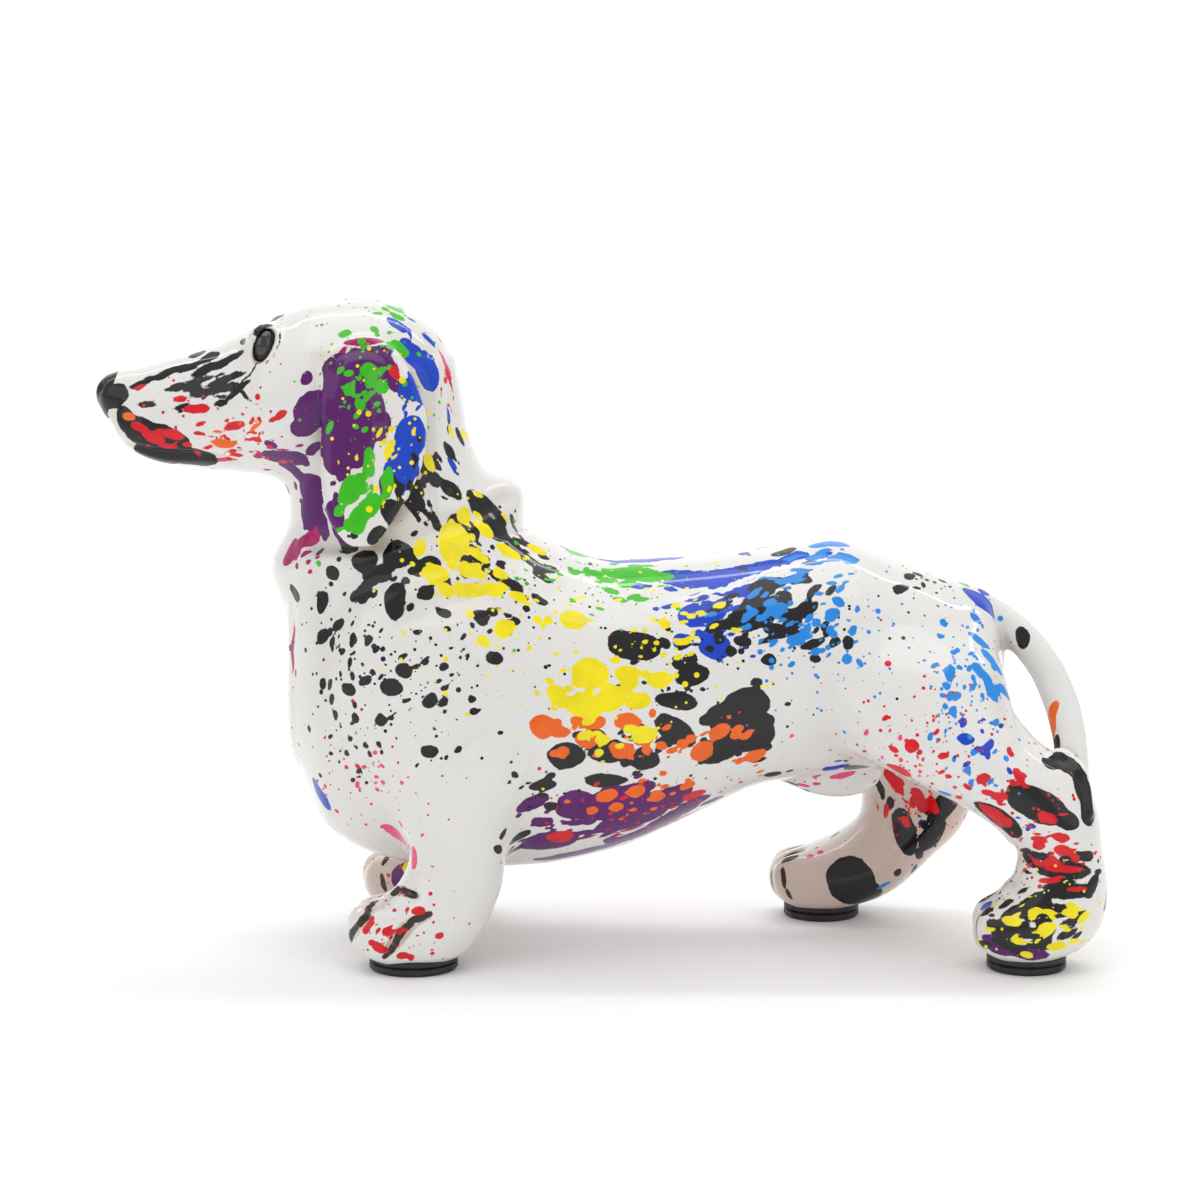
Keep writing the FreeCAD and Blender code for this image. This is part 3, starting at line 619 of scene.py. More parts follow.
        (131, 48, 1.5, 2.2, -20), (116, 48, 2.3, 2.4, -38), (136, 38, 1.8, 1.6, -10),
        (129, 39, 1.3, 1.6, 10), (136, 32.5, 1, 6, -3), (132, 29, 0.9, 4, 2), (140, 26.5, 0.9, 3.6, 5),
        (129, 41, 1.2, 2.2, -10), (135, 42, 1.4, 2, -10), (-62, 14, 1.4, 1.1, 0), (-65, 9.5, 1.7, 1.5, -35),
        (-58, 7, 1.4, 1.4, 0), (-53, 20, 1.4, 1.6, 0), (-47, 13, 1.1, 1.2, 0), (-68, 16, 1.2, 2.4, 60),
        (91, 46, 2, 2.4, -65), (99, 41, 1.6, 2.2, -60), (122.5, 60.5, 1.5, 2, -60),
        (120.5, 67, 0.9, 2, -70), (86, 68, 0.9, 1.8, -25)],
    "orange": [
        (-140, 162, 1.3, 1.8, -15), (-111.5, 154.5, 1.5, 2.5, 5), (-101.5, 160.5, 0.8, 4, 38),
        (-113, 158, 0.5, 3, 5), (-17, 74, 3.4, 1.1, 0), (-2, 75, 2.6, 1.5, 0), (-4, 70, 2.4, 1.4, 0),
        (8, 75, 2.4, 1.6, 0), (7, 66, 2.8, 1.3, 0), (30, 65, 3.6, 1.1, 0), (40, 70, 1.5, 1.1, 0),
        (46, 63, 2.2, 1.6, 30), (2, 52, 2.4, 1.6, 0), (11, 53, 2.4, 1.1, 30), (17, 51, 2, 1.2, 0),
        (5, 48, 1.7, 1.3, 0), (26, 54, 1.8, 1.5, 20), (35, 71, 2.4, 1.4, 30), (13, 70, 2.6, 1.2, 0),
        (136, 72, 2, 2.8, -78)],
    "green": [
        (-67.5, 177.5, 2.2, 1.2, 0), (-64, 173, 1.9, 1.3, -40), (-73, 172, 1.5, 1.5, 60),
        (-70, 167.5, 1.4, 1.7, -60), (-73.5, 177, 1.1, 1.5, 20), (-68, 151, 1.7, 2.2, 70),
        (-73, 143, 3, 1.5, 70), (-70, 135, 2.8, 1.7, 62), (-62, 145, 1.8, 2.6, 80), (-66, 139, 2, 1.8, 60),
        (-79, 161, 1, 2.2, 80), (-76, 137, 1.5, 1.3, 0), (-60, 192, 1.6, 1.4, 0), (-75, 188, 1.5, 1.3, 0),
        (-59, 183, 2.2, 1.5, -60), (-66, 193, 1, 1.6, 0), (-83, 120.5, 0.9, 1, 0), (9, 116, 3.6, 2.4, -16),
        (16, 114.5, 2.6, 2.6, -10), (-2, 116, 1.8, 2, -5), (2, 114, 1.6, 2, -10), (4, 111, 1, 2, 0),
        (12, 109.5, 1, 2.4, 0), (110, 110.5, 1.4, 1.5, -55)],
    "yellow": [
        (-62, 154, 1, 2.5, 75), (-50.5, 150, 1.5, 2.2, -65), (-44, 158, 0.9, 2.4, -80),
        (-36, 140, 1.2, 1.6, 0), (-43, 127, 4.6, 1.4, 80), (-48, 118, 3.4, 1.1, 0), (-38, 113, 2.2, 3, 5),
        (-36, 123, 1.9, 2, -30), (-40, 134, 2.6, 1.2, 85), (-53, 126, 1.9, 1.4, 80),
        (-19, 123, 1.9, 1.8, -20), (-28, 102, 2.9, 1.1, 0), (-34, 99, 1.8, 1.2, -20),
        (-24, 111, 1.6, 2, -30), (-3, 89, 4.6, 1.2, -10), (8, 89, 2.4, 1.7, 0), (-13, 84, 2, 1.5, 0),
        (-5, 80, 3.6, 1.6, -10), (3, 81, 3, 1.4, 0), (11, 81, 2.6, 1.5, 0), (-8, 104, 3.4, 1.2, -20),
        (13, 71, 2.9, 1.3, 0), (24, 98, 1.3, 2, -10), (19, 103, 1.2, 2, -20), (16, 87, 1.4, 1.4, 0),
        (121, 17, 1.7, 2, -12), (134, 10, 1.4, 1.8, 10), (142, 18, 1.3, 2, 20), (128, 20, 1.2, 2, 0)]}

# Lines that a brush drew: (colour, radius, points as (x, z)).
LINES = [
    ("black", 2.4, [(132.5, 62.8), (136, 62.3), (140, 59.5), (142.5, 55), (144, 47)]),
    ("stain", 1.0, TOE_GROOVES[0]), ("stain", 1.0, TOE_GROOVES[1]),
    ("black", 1.0, [(-102, 180.5), (-101.8, 184), (-100.2, 187.5), (-97.8, 190.2), (-95.2, 191.8)]),
    ("stain", 0.3, [(-94.5, 191.5), (-94.6, 187), (-96, 181), (-98.5, 178.5)]),
    ("black", 0.9, [(-60, 146), (-58, 140), (-54, 134)]),
    ("black", 0.8, [(-55.5, 145), (-54, 139), (-50, 134)]),
    ("stain", 0.35, [(-101, 179), (-104, 175.5), (-107, 172)]),
    # The white lines on the top of the back: a dashed seam of white that is partly a painted highlight along
    # that edge.
    ("white", 0.8, [(15, 108), (28, 110), (36, 112), (45, 115), (55, 117.8), (72, 118.6)]),
    ("white", 0.35, [(28, 116.4), (34, 117), (40, 117.6)])]

# Drops on the inside of the limbs that show between the near ones: (colour, x, z, radius, stretch, tilt).
INNER_DROPS = [
    ("purple", -62, 15, 3.4, 1.2, 60), ("purple", -59, 18, 2.6, 1.2, 0), ("yellow", -60, 18, 1.4, 1.8, 80),
    ("stain", -67, 20, 0.9, 3, 80), ("stain", -68, 13, 0.9, 4, -70), ("stain", 59.5, 19.5, 1, 3.2, 48),
    ("stain", 57.3, 14, 1, 3, 88), ("stain", 59, 9, 0.9, 2.6, -60), ("pink", 61, 24, 2, 2.4, 20),
    ("pink", 66, 25, 1.8, 2, -15), ("stain", 74, 26, 0.7, 3, 40)]

NOSE = ("black", -149, 168.5, 8.2)     # (colour, x, z, radius): one round drop right across the nose's tip

# Sprays of small drops: (x, z, reach x, reach z, count, smallest and largest radius, stretch, tilt).
SPRAYS = {
    "black": [
        (-75, 92, 9, 24, 60, 0.5, 1.6, 1.3, 70), (-50, 88, 15, 20, 55, 0.4, 1.3, 1.3, 30),
        (-76, 67, 8, 9, 34, 0.3, 1, 1.3, 70), (-62, 120, 12, 8, 26, 0.8, 2.4, 1.3, 20),
        (-30, 124, 14, 12, 34, 0.6, 2, 2.2, -35), (-28, 106, 10, 10, 18, 0.5, 1.5, 1.4, -20),
        (-50, 146, 6, 12, 26, 0.6, 1.6, 2, -60), (-118, 171, 14, 5, 22, 0.4, 0.9, 4, 12),
        (38, 71, 12, 10, 26, 0.8, 3, 1.4, 10), (4, 68, 14, 8, 26, 0.7, 2.2, 1.6, -5),
        (50, 106, 12, 8, 34, 0.8, 2.6, 2, 30), (-20, 56, 8, 6, 12, 0.4, 1.3, 1.5, 0),
        (20, 91, 12, 8, 24, 0.5, 1.6, 1.4, 0), (101, 113, 7, 3, 14, 0.3, 0.8, 1.3, 0),
        (136, 29, 10, 8, 30, 0.6, 1.6, 2.8, 5), (127, 16, 14, 7, 44, 0.5, 1.6, 2.4, 8),
        (98, 33, 7, 12, 14, 0.5, 1.8, 2, -60)],
    "purple": [
        (8, 47, 20, 8, 40, 0.8, 2.6, 1.8, 8), (-76, 160, 9, 14, 26, 0.8, 2.4, 1.4, 50),
        (-84, 138, 5, 10, 14, 0.8, 2, 1.3, 70), (-15, 40, 10, 6, 14, 0.5, 1.4, 1.8, 5)],
    "magenta": [
        (10, 38, 26, 3, 20, 0.4, 1.1, 3, 10), (-88, 123, 5, 5, 8, 0.5, 1.3, 1.6, 20),
        (-100, 152, 12, 5, 16, 0.3, 0.9, 2.4, 10)],
    "pink": [
        (-68, 56, 10, 12, 28, 0.3, 0.8, 1.3, 60), (-56, 34, 8, 8, 12, 0.3, 0.8, 1.6, -20),
        (92, 64, 12, 12, 36, 0.3, 0.8, 1.3, 50), (70, 22, 14, 6, 12, 0.4, 1, 2, -20)],
    "red": [
        (-130, 156, 10, 4, 10, 0.4, 0.9, 2.2, -12), (-108, 158, 14, 9, 26, 0.3, 0.9, 2.2, 20),
        (94, 66, 12, 12, 34, 0.3, 1, 1.3, 50), (116, 52, 10, 10, 34, 0.4, 1.1, 1.6, -40),
        (134, 36, 10, 9, 26, 0.4, 1, 2.8, -5), (-60, 13, 8, 7, 34, 0.3, 0.9, 1.4, 20),
        (95, 40, 8, 9, 22, 0.4, 1.2, 2.4, -60), (10, 46, 18, 6, 14, 0.4, 1.1, 1.5, 10),
        (-45, 172, 3, 10, 10, 0.3, 0.6, 4, -66)],
    "orange": [
        (6, 70, 20, 9, 34, 0.6, 2, 1.4, 0), (40, 68, 12, 9, 24, 0.5, 1.6, 1.4, 20),
        (10, 51, 14, 5, 20, 0.5, 1.6, 1.4, 0), (-108, 157, 8, 5, 8, 0.3, 0.7, 2, 20)],
    "yellow": [
        (-38, 122, 12, 12, 34, 0.6, 2, 1.7, -30), (-2, 84, 14, 9, 30, 0.7, 2.2, 1.5, -5),
        (-22, 104, 14, 12, 26, 0.4, 1.3, 1.3, -20), (24, 100, 12, 9, 30, 0.4, 1.2, 1.8, 10),
        (4, 112, 14, 8, 20, 0.3, 0.9, 1.5, 0), (8, 72, 14, 7, 14, 0.5, 1.5, 1.3, 0),
        (129, 16, 15, 8, 44, 0.4, 1.2, 2.4, 8), (-60, 150, 8, 16, 24, 0.3, 0.9, 1.8, 70),
        (10, 97, 7, 3, 8, 0.3, 0.6, 1.2, 0)],
    "green": [
        (-68, 170, 8, 10, 30, 0.5, 1.7, 1.4, 60), (-70, 140, 7, 11, 26, 0.5, 1.8, 1.5, 60),
        (-66, 189, 9, 5, 26, 0.3, 1.1, 1.4, 0), (4, 113, 14, 6, 24, 0.4, 1.2, 2, -5),
        (-20, 116, 12, 8, 12, 0.3, 0.8, 1.3, 0)],
    "blue": [
        (-56, 158, 4, 14, 18, 0.6, 1.8, 2, 78), (44, 112, 14, 7, 24, 0.6, 1.6, 2.6, 18),
        (36, 98, 9, 6, 20, 0.6, 1.7, 1.5, 10), (110, 74, 8, 10, 14, 0.4, 1.2, 1.5, 60),
        (124, 50, 9, 6, 12, 0.5, 1.4, 1.5, -20)],
    "sky": [
        (61, 101, 12, 9, 44, 0.4, 1.2, 1.3, 30), (62, 117, 10, 5, 22, 0.6, 1.6, 2.2, 20),
        (108, 88, 9, 16, 60, 0.4, 1.1, 1.5, 75), (48, 108, 12, 8, 20, 0.5, 1.4, 2, 25),
        (112, 62, 8, 9, 18, 0.4, 1, 1.5, 70)]}

# Mists of the finest drops: (x, z, reach x, reach z, share of the drops that are there).
MISTS = {
    "black": [
        (-66, 92, 22, 32, 0.45), (-30, 110, 24, 22, 0.4), (20, 78, 34, 26, 0.4), (50, 104, 24, 14, 0.5),
        (100, 114, 14, 8, 0.5), (130, 24, 18, 18, 0.5)],
    "red": [
        (95, 66, 22, 22, 0.6), (122, 46, 20, 20, 0.6), (-60, 14, 16, 14, 0.6), (-66, 56, 16, 20, 0.4),
        (-112, 160, 24, 14, 0.4), (8, 50, 26, 14, 0.4)],
    "yellow": [
        (-30, 110, 26, 24, 0.6), (4, 88, 26, 20, 0.5), (-62, 156, 16, 26, 0.5), (130, 14, 20, 12, 0.7)],
    "sky": [
        (70, 100, 24, 18, 0.7), (108, 84, 14, 26, 0.7)],
    "green": [
        (-66, 180, 18, 18, 0.6), (4, 112, 26, 10, 0.5)]}


def ripple(points, seed, length, height, waves=7):
    """Smooth random shifts of points, about `height` large and `length` apart."""
    dice = np.random.default_rng(seed)
    shift = np.zeros_like(points)
    for _ in range(waves):
        way = dice.normal(size=3)
        way *= 2 * math.pi / length / np.linalg.norm(way)
        shift += np.sin(points @ way + dice.uniform(0, 2 * math.pi))[:, None] * dice.normal(size=3)
    return shift * height / math.sqrt(waves)


def drops_for(side):
    """Every drop of one side as (colour, x, z, radius, stretch, tilt). The far side is another throw."""
    dice = np.random.default_rng(SPLASH_SEEDS[side])
    drops = []
    for colour, rows in DROPS.items():
        for x, z, radius, stretch, tilt in rows:
            if side == RIGHT:
                x += dice.normal(0, 3.5)
                z += dice.normal(0, 2.5)
                radius *= dice.uniform(0.8, 1.25)
                tilt += dice.normal(0, 18)
            drops.append((colour, x, z, radius, stretch, tilt))
    for colour, rows in SPRAYS.items():
        for x, z, reach_x, reach_z, count, small, large, stretch, tilt in rows:
            for _ in range(count):
                u, v = np.clip(dice.normal(0, 0.6, 2), -1.4, 1.4)
                radius = small + (large - small) * dice.uniform() ** 2.4
                drops.append((colour, x + reach_x * u, z + reach_z * v, radius,
                              stretch * dice.uniform(0.75, 1.3), tilt + dice.normal(0, 16)))
    for colour, radius, line in LINES:
        for (x0, z0), (x1, z1) in zip(line[:-1], line[1:]):
            run = math.hypot(x1 - x0, z1 - z0)
            tilt = math.degrees(math.atan2(z1 - z0, x1 - x0))
            for t in np.arange(0, 1, radius / run):
                # The white lines, partly a painted highlight, break into dashes of uneven width.
                dash_breadth = dice.uniform(0.5, 1.1) if colour == "white" else 1
                drops.append((colour, x0 + t * (x1 - x0), z0 + t * (z1 - z0), radius * dash_breadth, 1.5, tilt))
    return drops


def spilled(points, normals, count=300, reach=13.0):
    """Drops over the front, the top and the back, in the colours that lie nearest on the side."""
    dice = np.random.default_rng(SPILL_SEED)
    rows = [(colour, x, z) for colour, drops in DROPS.items() for x, z, *_ in drops]
    sources = np.array([row[1:] for row in rows])
    free = np.flatnonzero((np.abs(normals[:, 1]) < 0.6) & (points[:, 2] > 32))
    for place in dice.choice(free, count):
        away = np.hypot(*(sources - points[place][[0, 2]]).T)
        radius = 0.35 + 1.9 * dice.uniform() ** 2.2
        stretch = dice.uniform(1, 2)
        tilt = dice.uniform(-60, 60)
        if away.min() < reach:
            yield rows[away.argmin()][0], points[place], normals[place], radius, stretch, tilt


def paint_fields(clay, points, normals):
    """For every colour, each vertex's distance to the paint's edge in millimetres, negative under paint."""
    bare = 8.0                 # the distance where a colour's paint is nowhere near
    fringe = 4                 # how far past a drop's rim its distance still counts
    soak = 3.5                 # how much deeper than its radius a drop reaches into the skin
    bent = points + ripple(points, seed=5, length=9.0, height=0.4)
    bent += ripple(points, seed=6, length=3.4, height=0.12)
    order = np.argsort(bent[:, 0])
    bent = bent[order]
    fields = {colour: np.full(len(points), bare) for colour in COLOURS}

    def press(colour, centre, normal, radius, stretch, tilt):
        """Puts an oval drop on the skin, its length along the tilt."""
        normal = normal / (np.linalg.norm(normal) + 1e-9)
        way = np.array([math.cos(math.radians(tilt)), 0.02, math.sin(math.radians(tilt))])
        way -= normal * (way @ normal)
        way /= np.linalg.norm(way) + 1e-9
        reach = radius * stretch + fringe
        first, last = np.searchsorted(bent[:, 0], (centre[0] - reach, centre[0] + reach))
        away = bent[first:last] - centre
        q = np.sqrt((away @ way / (radius * stretch)) ** 2 + (away @ np.cross(normal, way) / radius) ** 2
                    + (away @ normal / (radius + soak)) ** 2)
        field = fields[colour]
        field[first:last] = np.minimum(field[first:last], (q - 1) * radius)

    for side in (LEFT, RIGHT):
        throw = [(*drop, False) for drop in drops_for(side)] + [(*drop, True) for drop in INNER_DROPS]
        for colour, x, z, radius, stretch, tilt, inner in throw:
            y = clay.skin(x, z, side, inner)
            if y is not None:
                centre = np.array([x, y, z])
                press(colour, centre, clay.slope(centre[None])[0], radius, stretch, tilt)
    for drop in spilled(points, normals):
        press(*drop)
    for colour, field in fields.items():
        spread = np.empty_like(field)
        spread[order] = field
        fields[colour] = spread
    colour, x, z, radius = NOSE
    fields[colour] = np.minimum(fields[colour], np.linalg.norm(points - (x, 0, z), axis=1) - radius)
    return fields


def mist_fields(points):
    """For every misted colour, the share of its finest drops that are there at each vertex."""
    fields = {}
    for colour, rows in MISTS.items():
        for x, z, reach_x, reach_z, share in rows:
            away = ((points[:, 0] - x) / reach_x) ** 2 + ((points[:, 2] - z) / reach_z) ** 2
            fields[colour] = np.maximum(fields.get(colour, 0), share * np.exp(-away))
    return fields


# ---------------------------------------------------------------- materials

def linear(colour):
    """An sRGB colour of 0 to 255 as the linear colour that a shader takes."""
    share = np.array(colour) / 255
    return (*np.where(share < 0.04045, share / 12.92, ((share + 0.055) / 1.055) ** 2.4), 1.0)


class Nodes:
    """Short forms for the nodes of one material."""

    def __init__(self, name):
        self.material = bpy.data.materials.new(name)
        self.material.use_nodes = True
        self.tree = self.material.node_tree
        self.shader = self.tree.nodes["Principled BSDF"]
        self.place = self.new("ShaderNodeTexCoord").outputs["Object"]

    def new(self, kind, **settings):
        """A node of one kind, with its settings."""
        node = self.tree.nodes.new(kind)
        for name, value in settings.items():
            setattr(node, name, value)
        return node

    def feed(self, socket, value):
        """Gives a socket a value, or links another socket to it."""
        if isinstance(value, bpy.types.NodeSocket):
            self.tree.links.new(value, socket)
        else:
            socket.default_value = value

    def math(self, operation, *values):
        """One operation on numbers or sockets."""
        node = self.new("ShaderNodeMath", operation=operation)
        for socket, value in zip(node.inputs, values):
            self.feed(socket, value)
        return node.outputs[0]

    def fade(self, value, start, end, low=0.0, high=1.0):
        """value from start to end becomes low to high, and stays within them."""
        node = self.new("ShaderNodeMapRange", interpolation_type="SMOOTHSTEP")
        for name, number in (("Value", value), ("From Min", start), ("From Max", end),
                             ("To Min", low), ("To Max", high)):
            self.feed(node.inputs[name], number)
        return node.outputs["Result"]

    def mix(self, share, under, over):
        """One colour over another, by share."""
        node = self.new("ShaderNodeMix", data_type="RGBA")
        self.feed(node.inputs["Factor"], share)
        self.feed(node.inputs["A"], under)
        self.feed(node.inputs["B"], over)
        return node.outputs["Result"]

    def noise(self, length, detail=2.0, roughness=0.5):
        """Noise with lumps about `length` millimetres across."""
        node = self.new("ShaderNodeTexNoise")
        self.feed(node.inputs["Vector"], self.place)
        self.feed(node.inputs["Scale"], 1 / (length * MM))
        self.feed(node.inputs["Detail"], detail)
        self.feed(node.inputs["Roughness"], roughness)
        return node.outputs["Fac"]

    def attribute(self, name):
        """A field that the mesh holds at its vertices."""
        return self.new("ShaderNodeAttribute", attribute_name=name).outputs["Fac"]

    def bump(self, height, depth):
        """Relief of `depth` millimetres."""
        node = self.new("ShaderNodeBump")
        self.feed(node.inputs["Strength"], 1.0)
        self.feed(node.inputs["Distance"], depth * MM)
        self.feed(node.inputs["Height"], height)
        self.tree.links.new(node.outputs["Normal"], self.shader.inputs["Normal"])

    def finish(self, **values):
        """Sets the shader's own sockets, named with _ for spaces."""
        for name, value in values.items():
            self.feed(self.shader.inputs[name.replace("_", " ").title().replace("Ior", "IOR")], value)
        return self.material


def fine_drops(nodes, spacing, largest):
    """An even field of round drops: how far inside one a point is, and that drop's random number."""
    cells = nodes.new("ShaderNodeTexVoronoi")
    nodes.feed(cells.inputs["Vector"], nodes.place)
    nodes.feed(cells.inputs["Scale"], 1 / (spacing * MM))
    own = nodes.new("ShaderNodeSeparateColor")
    nodes.feed(own.inputs["Color"], cells.outputs["Color"])
    size = nodes.math("MULTIPLY", nodes.math("POWER", own.outputs["Green"], 2.0), largest / spacing)
    size = nodes.math("ADD", size, 0.25 * largest / spacing)
    depth = nodes.math("SUBTRACT", size, cells.outputs["Distance"])
    return nodes.fade(depth, 0, 0.05), own.outputs["Red"]


def glazed_material():
    """White earthenware glaze with splashes under a clear, slightly rippled gloss."""
    nodes = Nodes("glazed_splashes")
    white = nodes.mix(nodes.noise(45, 2), linear((234, 233, 230)), linear((228, 227, 223)))
    # Painted warm shade in the hollows where other clay is near, which also stands for glaze pooled there.
    white = nodes.mix(nodes.fade(nodes.attribute("hollow"), 0.05, 0.8), white, linear((214, 203, 190)))
    # Painted shade: the limbs' inner sides turn beige-grey, warm as if from light off the floor.
    white = nodes.mix(nodes.attribute("inside"), white, linear((214, 194, 183)))
    colour = nodes.mix(nodes.fade(nodes.attribute("groove"), 0.35, 0.75), white, linear((58, 42, 36)))
    edge = nodes.math("MULTIPLY", nodes.math("SUBTRACT", nodes.noise(1.3, 2), 0.5), 0.5)
    fine = [fine_drops(nodes, 1.5, 0.5), fine_drops(nodes, 3.2, 0.9)]
    tone = nodes.fade(nodes.noise(7, 3), 0.3, 0.75)
    misted = sorted(MISTS)
    for name, shade in COLOURS.items():
        inside = nodes.fade(nodes.math("ADD", nodes.attribute("paint_" + name), edge), -0.1, 0.1, 1.0, 0.0)
        if name in misted:        # each misted colour has its own stretch of the drops' random numbers
            start = misted.index(name) / len(misted)
            for drop, own in fine:
                turn = nodes.math("MULTIPLY", nodes.attribute("mist_" + name), 0.85)
                there = nodes.math("LESS_THAN", nodes.math("SUBTRACT", own, start), turn)
                there = nodes.math("MULTIPLY", there, nodes.math("GREATER_THAN", own, start))
                inside = nodes.math("MAXIMUM", inside, nodes.math("MULTIPLY", there, drop))
        deep = linear(np.array(shade) * 0.93)
        colour = nodes.mix(inside, colour, nodes.mix(tone, linear(shade), deep))
    nodes.bump(nodes.noise(5, 2), 0.05)
    rough = nodes.fade(nodes.noise(20, 2), 0.2, 0.8, 0.3, 0.4)
    return nodes.finish(base_color=colour, roughness=rough, specular_ior_level=0.12,
                        coat_weight=0.75, coat_roughness=0.04, ior=1.5)


def eye_material():
    """Near-black glaze with a faint brown cloud, very glossy."""
    nodes = Nodes("eye_black_glaze")
    cloud = nodes.fade(nodes.noise(2.5, 3), 0.35, 0.7)
    colour = nodes.mix(cloud, linear((14, 12, 13)), linear((40, 30, 27)))
    nodes.bump(nodes.noise(1.5, 2), 0.01)
    return nodes.finish(base_color=colour, roughness=nodes.fade(nodes.noise(3), 0.3, 0.7, 0.05, 0.1),
                        coat_weight=1.0, coat_roughness=0.02, ior=1.5)


def rubber_material():
    """Dark satin rubber with a fine grain."""
    nodes = Nodes("pad_satin_rubber")
    colour = nodes.mix(nodes.fade(nodes.noise(4, 4), 0.3, 0.7), linear((24, 24, 25)), linear((44, 43, 42)))
    nodes.bump(nodes.noise(0.7, 3), 0.06)
    rough = nodes.fade(nodes.noise(2, 3), 0.3, 0.7, 0.45, 0.62)
    return nodes.finish(base_color=colour, roughness=rough, ior=1.5)


# ---------------------------------------------------------------- the pieces

def neighbours(quads):
    """Pairs of faces that share an edge."""
    ends = np.sort(edges(quads), axis=1)
    faces = np.tile(np.arange(len(quads)), 4)
    key = ends[:, 0].astype(np.int64) * (quads.max() + 1) + ends[:, 1]
    order = np.argsort(key, kind="stable")
    same = key[order][1:] == key[order][:-1]
    return faces[order][:-1][same], faces[order][1:][same]


def islands(a, b, owner):
    """One number for each connected patch of faces with the same owner."""
    same = owner[a] == owner[b]
    a = a[same]
    b = b[same]
    island = np.arange(len(owner))
    while True:
        lowest = island.copy()
        np.minimum.at(lowest, island[a], island[b])
        np.minimum.at(lowest, island[b], island[a])
        lowest = lowest[lowest]
        if (lowest == island).all():
            return island
        island = lowest


def owners(clay, points, quads, rounds=14):
    """The piece that each face belongs to, with smooth borders and no small islands."""
    cell = ((points[quads].mean(axis=1) - clay.low) / clay.pitch).round().astype(int)
    owner = clay.owner[tuple(cell.T)].astype(int)
    right = points[quads].mean(axis=1)[:, 1] > 0
    owner[(owner == PIECES.index("foreleg_left")) & right] = PIECES.index("foreleg_right")
    a, b = neighbours(quads)

    def votes():
        """How many neighbours of each face belong to each piece. A face's own piece counts 1.5."""
        return np.stack([np.bincount(a, owner[b] == k, len(owner))
                         + np.bincount(b, owner[a] == k, len(owner))
                         + 1.5 * (owner == k) for k in range(len(PIECES))])

    for _ in range(rounds):
        owner = votes().argmax(axis=0)
    island = islands(a, b, owner)
    size = np.bincount(island)[island]
    for k in range(len(PIECES)):
        owner[(owner == k) & (size < size[owner == k].max())] = -1
    while (owner < 0).any():
        count = votes()
        owner = np.where((owner < 0) & (count.max(axis=0) > 0), count.argmax(axis=0), owner)
    return owner


def rims(quads):
    """The loops of vertices round the open ends of a set of faces."""
    here = {tuple(edge) for edge in edges(quads).tolist()}
    onward = {}
    for start, end in sorted(here):
        if (end, start) not in here:
            onward.setdefault(start, []).append(end)
    loops = []
    while onward:
        first = min(onward)
        loop = []
        at = first
        while at in onward:
            loop.append(at)
            following = onward[at].pop()
            if not onward[at]:
                del onward[at]
            at = following
        if len(loop) > 2:
            loops.append(loop)
    return loops


def put(name, data):
    """A new object in the scene."""
    thing = bpy.data.objects.new(name, data)
    bpy.context.scene.collection.objects.link(thing)
    return thing


def make_piece(name, points, normals, quads, values, material):
    """A closed piece of the skin: its share of the faces, and a cap in each joint with a neighbour."""
    used, index = np.unique(quads, return_inverse=True)
    quads = index.reshape(-1, 4)
    loops = rims(quads)
    middles = [points[used[loop]].mean(axis=0) for loop in loops]
    faces = quads.tolist()
    for cap, loop in enumerate(loops):
        centre = len(used) + cap
        faces += [[after, before, centre] for before, after in zip(loop, loop[1:] + loop[:1])]
    places = np.concatenate([points[used], np.array(middles).reshape(-1, 3)]) * MM
    mesh = bpy.data.meshes.new(name)
    mesh.from_pydata(places.tolist(), [], faces)
    mesh.validate()
    mesh.shade_smooth()
    facing = np.concatenate([normals[used], np.tile((0.0, 0.0, 1.0), (len(loops), 1))])
    mesh.normals_split_custom_set_from_vertices(facing.tolist())
    for field, numbers in values.items():
        layer = mesh.attributes.new(field, "FLOAT", "POINT")
        layer.data.foreach_set("value", np.append(numbers[used], np.zeros(len(loops))).astype(np.float32))
    mesh.materials.append(material)
    return put(name, mesh)


def make_dog():
    """Models the dog, paints it, cuts it into its glazed pieces and gives eyes and pads their materials."""
    clay = model_dog()
    points, quads = clay.surface()
    normals = clay.slope(points)
    normals /= np.linalg.norm(normals, axis=1)[:, None]

    def closeness(reach):
        """1 where other clay is within reach of the skin, fading to 0 at twice that distance."""
        return np.clip(1 - clay.sample(points + reach * normals) / reach, 0, 1)

    values = {"paint_" + colour: field for colour, field in paint_fields(clay, points, normals).items()}
    values.update({"mist_" + colour: field for colour, field in mist_fields(points).items()})
    # Hollows get painted warm shade, together with the glaze's pooling.
    values["hollow"] = closeness(HOLLOW_REACH)
    values["groove"] = closeness(GROOVE_REACH) * (points[:, 2] < PAW_TOP)

    # Painted shade on the limbs' inner sides, warm as if lit by light off the floor: skin that looks at the
    # middle, well away from it, fading out up the thigh.
    inward = np.clip(-np.sign(points[:, 1]) * normals[:, 1] * 1.4, 0, 1)
    apart = np.clip((np.abs(points[:, 1]) - 8) / 8, 0, 1)
    values["inside"] = inward * apart * np.clip((62 - points[:, 2]) / 25, 0, 1)
    owner = owners(clay, points, quads)
    glaze = glazed_material()
    for k, node in enumerate(PIECES):
        piece = make_piece("glazed_" + node, points, normals, quads[owner == k], values, glaze)
        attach(piece, "root")
        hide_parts(node)
    for material, nodes in ((eye_material(), EYES), (rubber_material(), PADS)):
        for node in nodes:
            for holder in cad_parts[node].material_slots:
                holder.material = material


# ---------------------------------------------------------------- the studio

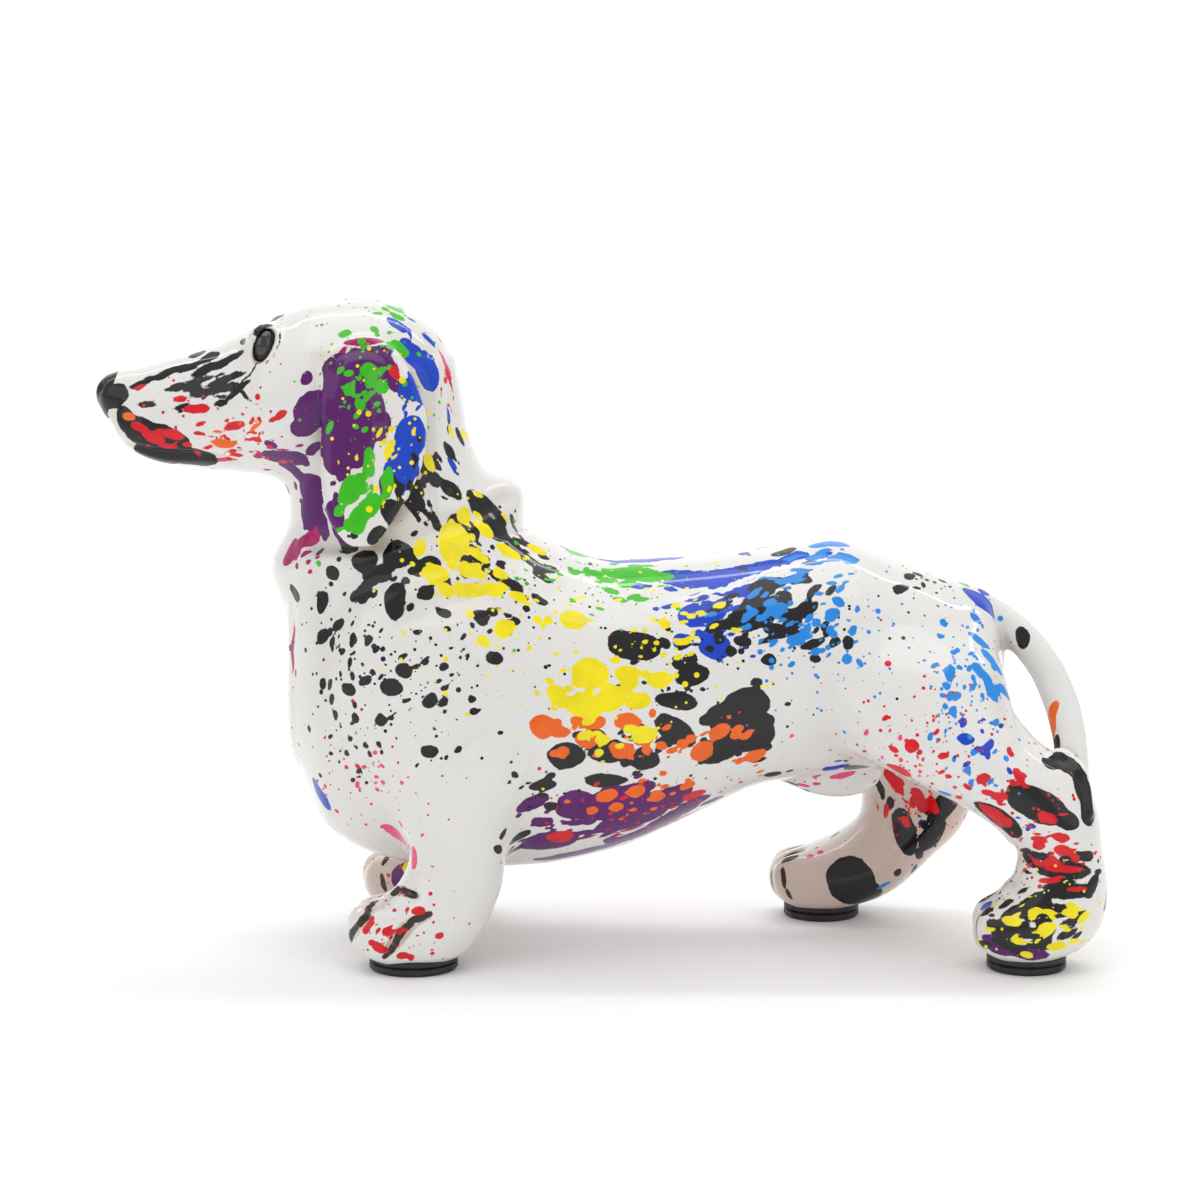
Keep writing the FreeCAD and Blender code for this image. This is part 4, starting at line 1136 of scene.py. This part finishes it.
def make_stage():
    """A pale floor that rises behind into a wall."""
    half = 4.0
    front = -3.0
    back = 2.0
    bend = 1.2
    top = 4.0
    turns = np.linspace(0, math.pi / 2, 17)
    outline = [(front, 0.0)]
    outline += [(back + bend * math.sin(t), bend * (1 - math.cos(t))) for t in turns]
    outline.append((back + bend, top))
    places = [(x, y, z) for y, z in outline for x in (-half, half)]
    faces = [(2 * k, 2 * k + 1, 2 * k + 3, 2 * k + 2) for k in range(len(outline) - 1)]
    mesh = bpy.data.meshes.new("studio_floor")
    mesh.from_pydata(places, [], faces)
    mesh.shade_smooth()
    nodes = Nodes("studio_paper")
    shade = nodes.mix(nodes.noise(600, 2), linear((254, 254, 254)), linear((251, 251, 251)))
    mesh.materials.append(nodes.finish(base_color=shade, roughness=0.9))
    floor = put("studio_floor", mesh)


def add_lamp(name, place, aim, size, watts):
    """An oblong soft light at a place, turned to its aim."""
    light = bpy.data.lights.new(name, "AREA")
    light.shape = "RECTANGLE"
    light.size, light.size_y = size
    light.energy = watts
    lamp = put(name, light)
    lamp.location = place
    lamp.rotation_euler = (Vector(aim) - Vector(place)).to_track_quat("-Z", "Y").to_euler()


def light_studio():
    """Soft light from above and both sides, a lamp for the wall and a white sky."""
    middle = (0, 0, 0.1)
    add_lamp("lamp_above", (0.1, 0.0, 1.6), middle, (1.6, 1.3), 8)
    add_lamp("lamp_left", (-1.5, -1.3, 1.1), middle, (1.5, 1.6), 5)
    add_lamp("lamp_right", (1.6, -1.2, 0.9), middle, (1.3, 1.4), 3)
    add_lamp("lamp_wall", (0, 0.7, 2.2), (0, 3.2, 0.6), (5, 0.6), 60)
    world = bpy.data.worlds.new("studio")
    world.use_nodes = True
    world.node_tree.nodes["Background"].inputs["Color"].default_value = (1, 1, 1, 1)
    world.node_tree.nodes["Background"].inputs["Strength"].default_value = 0.62
    bpy.context.scene.world = world
    bpy.context.scene.view_settings.view_transform = "Standard"


def place_camera():
    """The dog from its left side, a little from above, with a long lens."""
    distance = 1.1
    rise = math.radians(8.5)
    aim = 0.1055
    data = bpy.data.cameras.new("camera")
    data.lens = 108.9
    data.sensor_width = 36
    data.clip_start = 0.02
    camera = put("camera", data)
    camera.location = (0, -distance * math.cos(rise), aim + distance * math.sin(rise))
    camera.rotation_euler = (math.pi / 2 - rise, 0, 0)
    bpy.context.scene.camera = camera


# ---- RUN
place_camera()
light_studio()
make_stage()
make_dog()
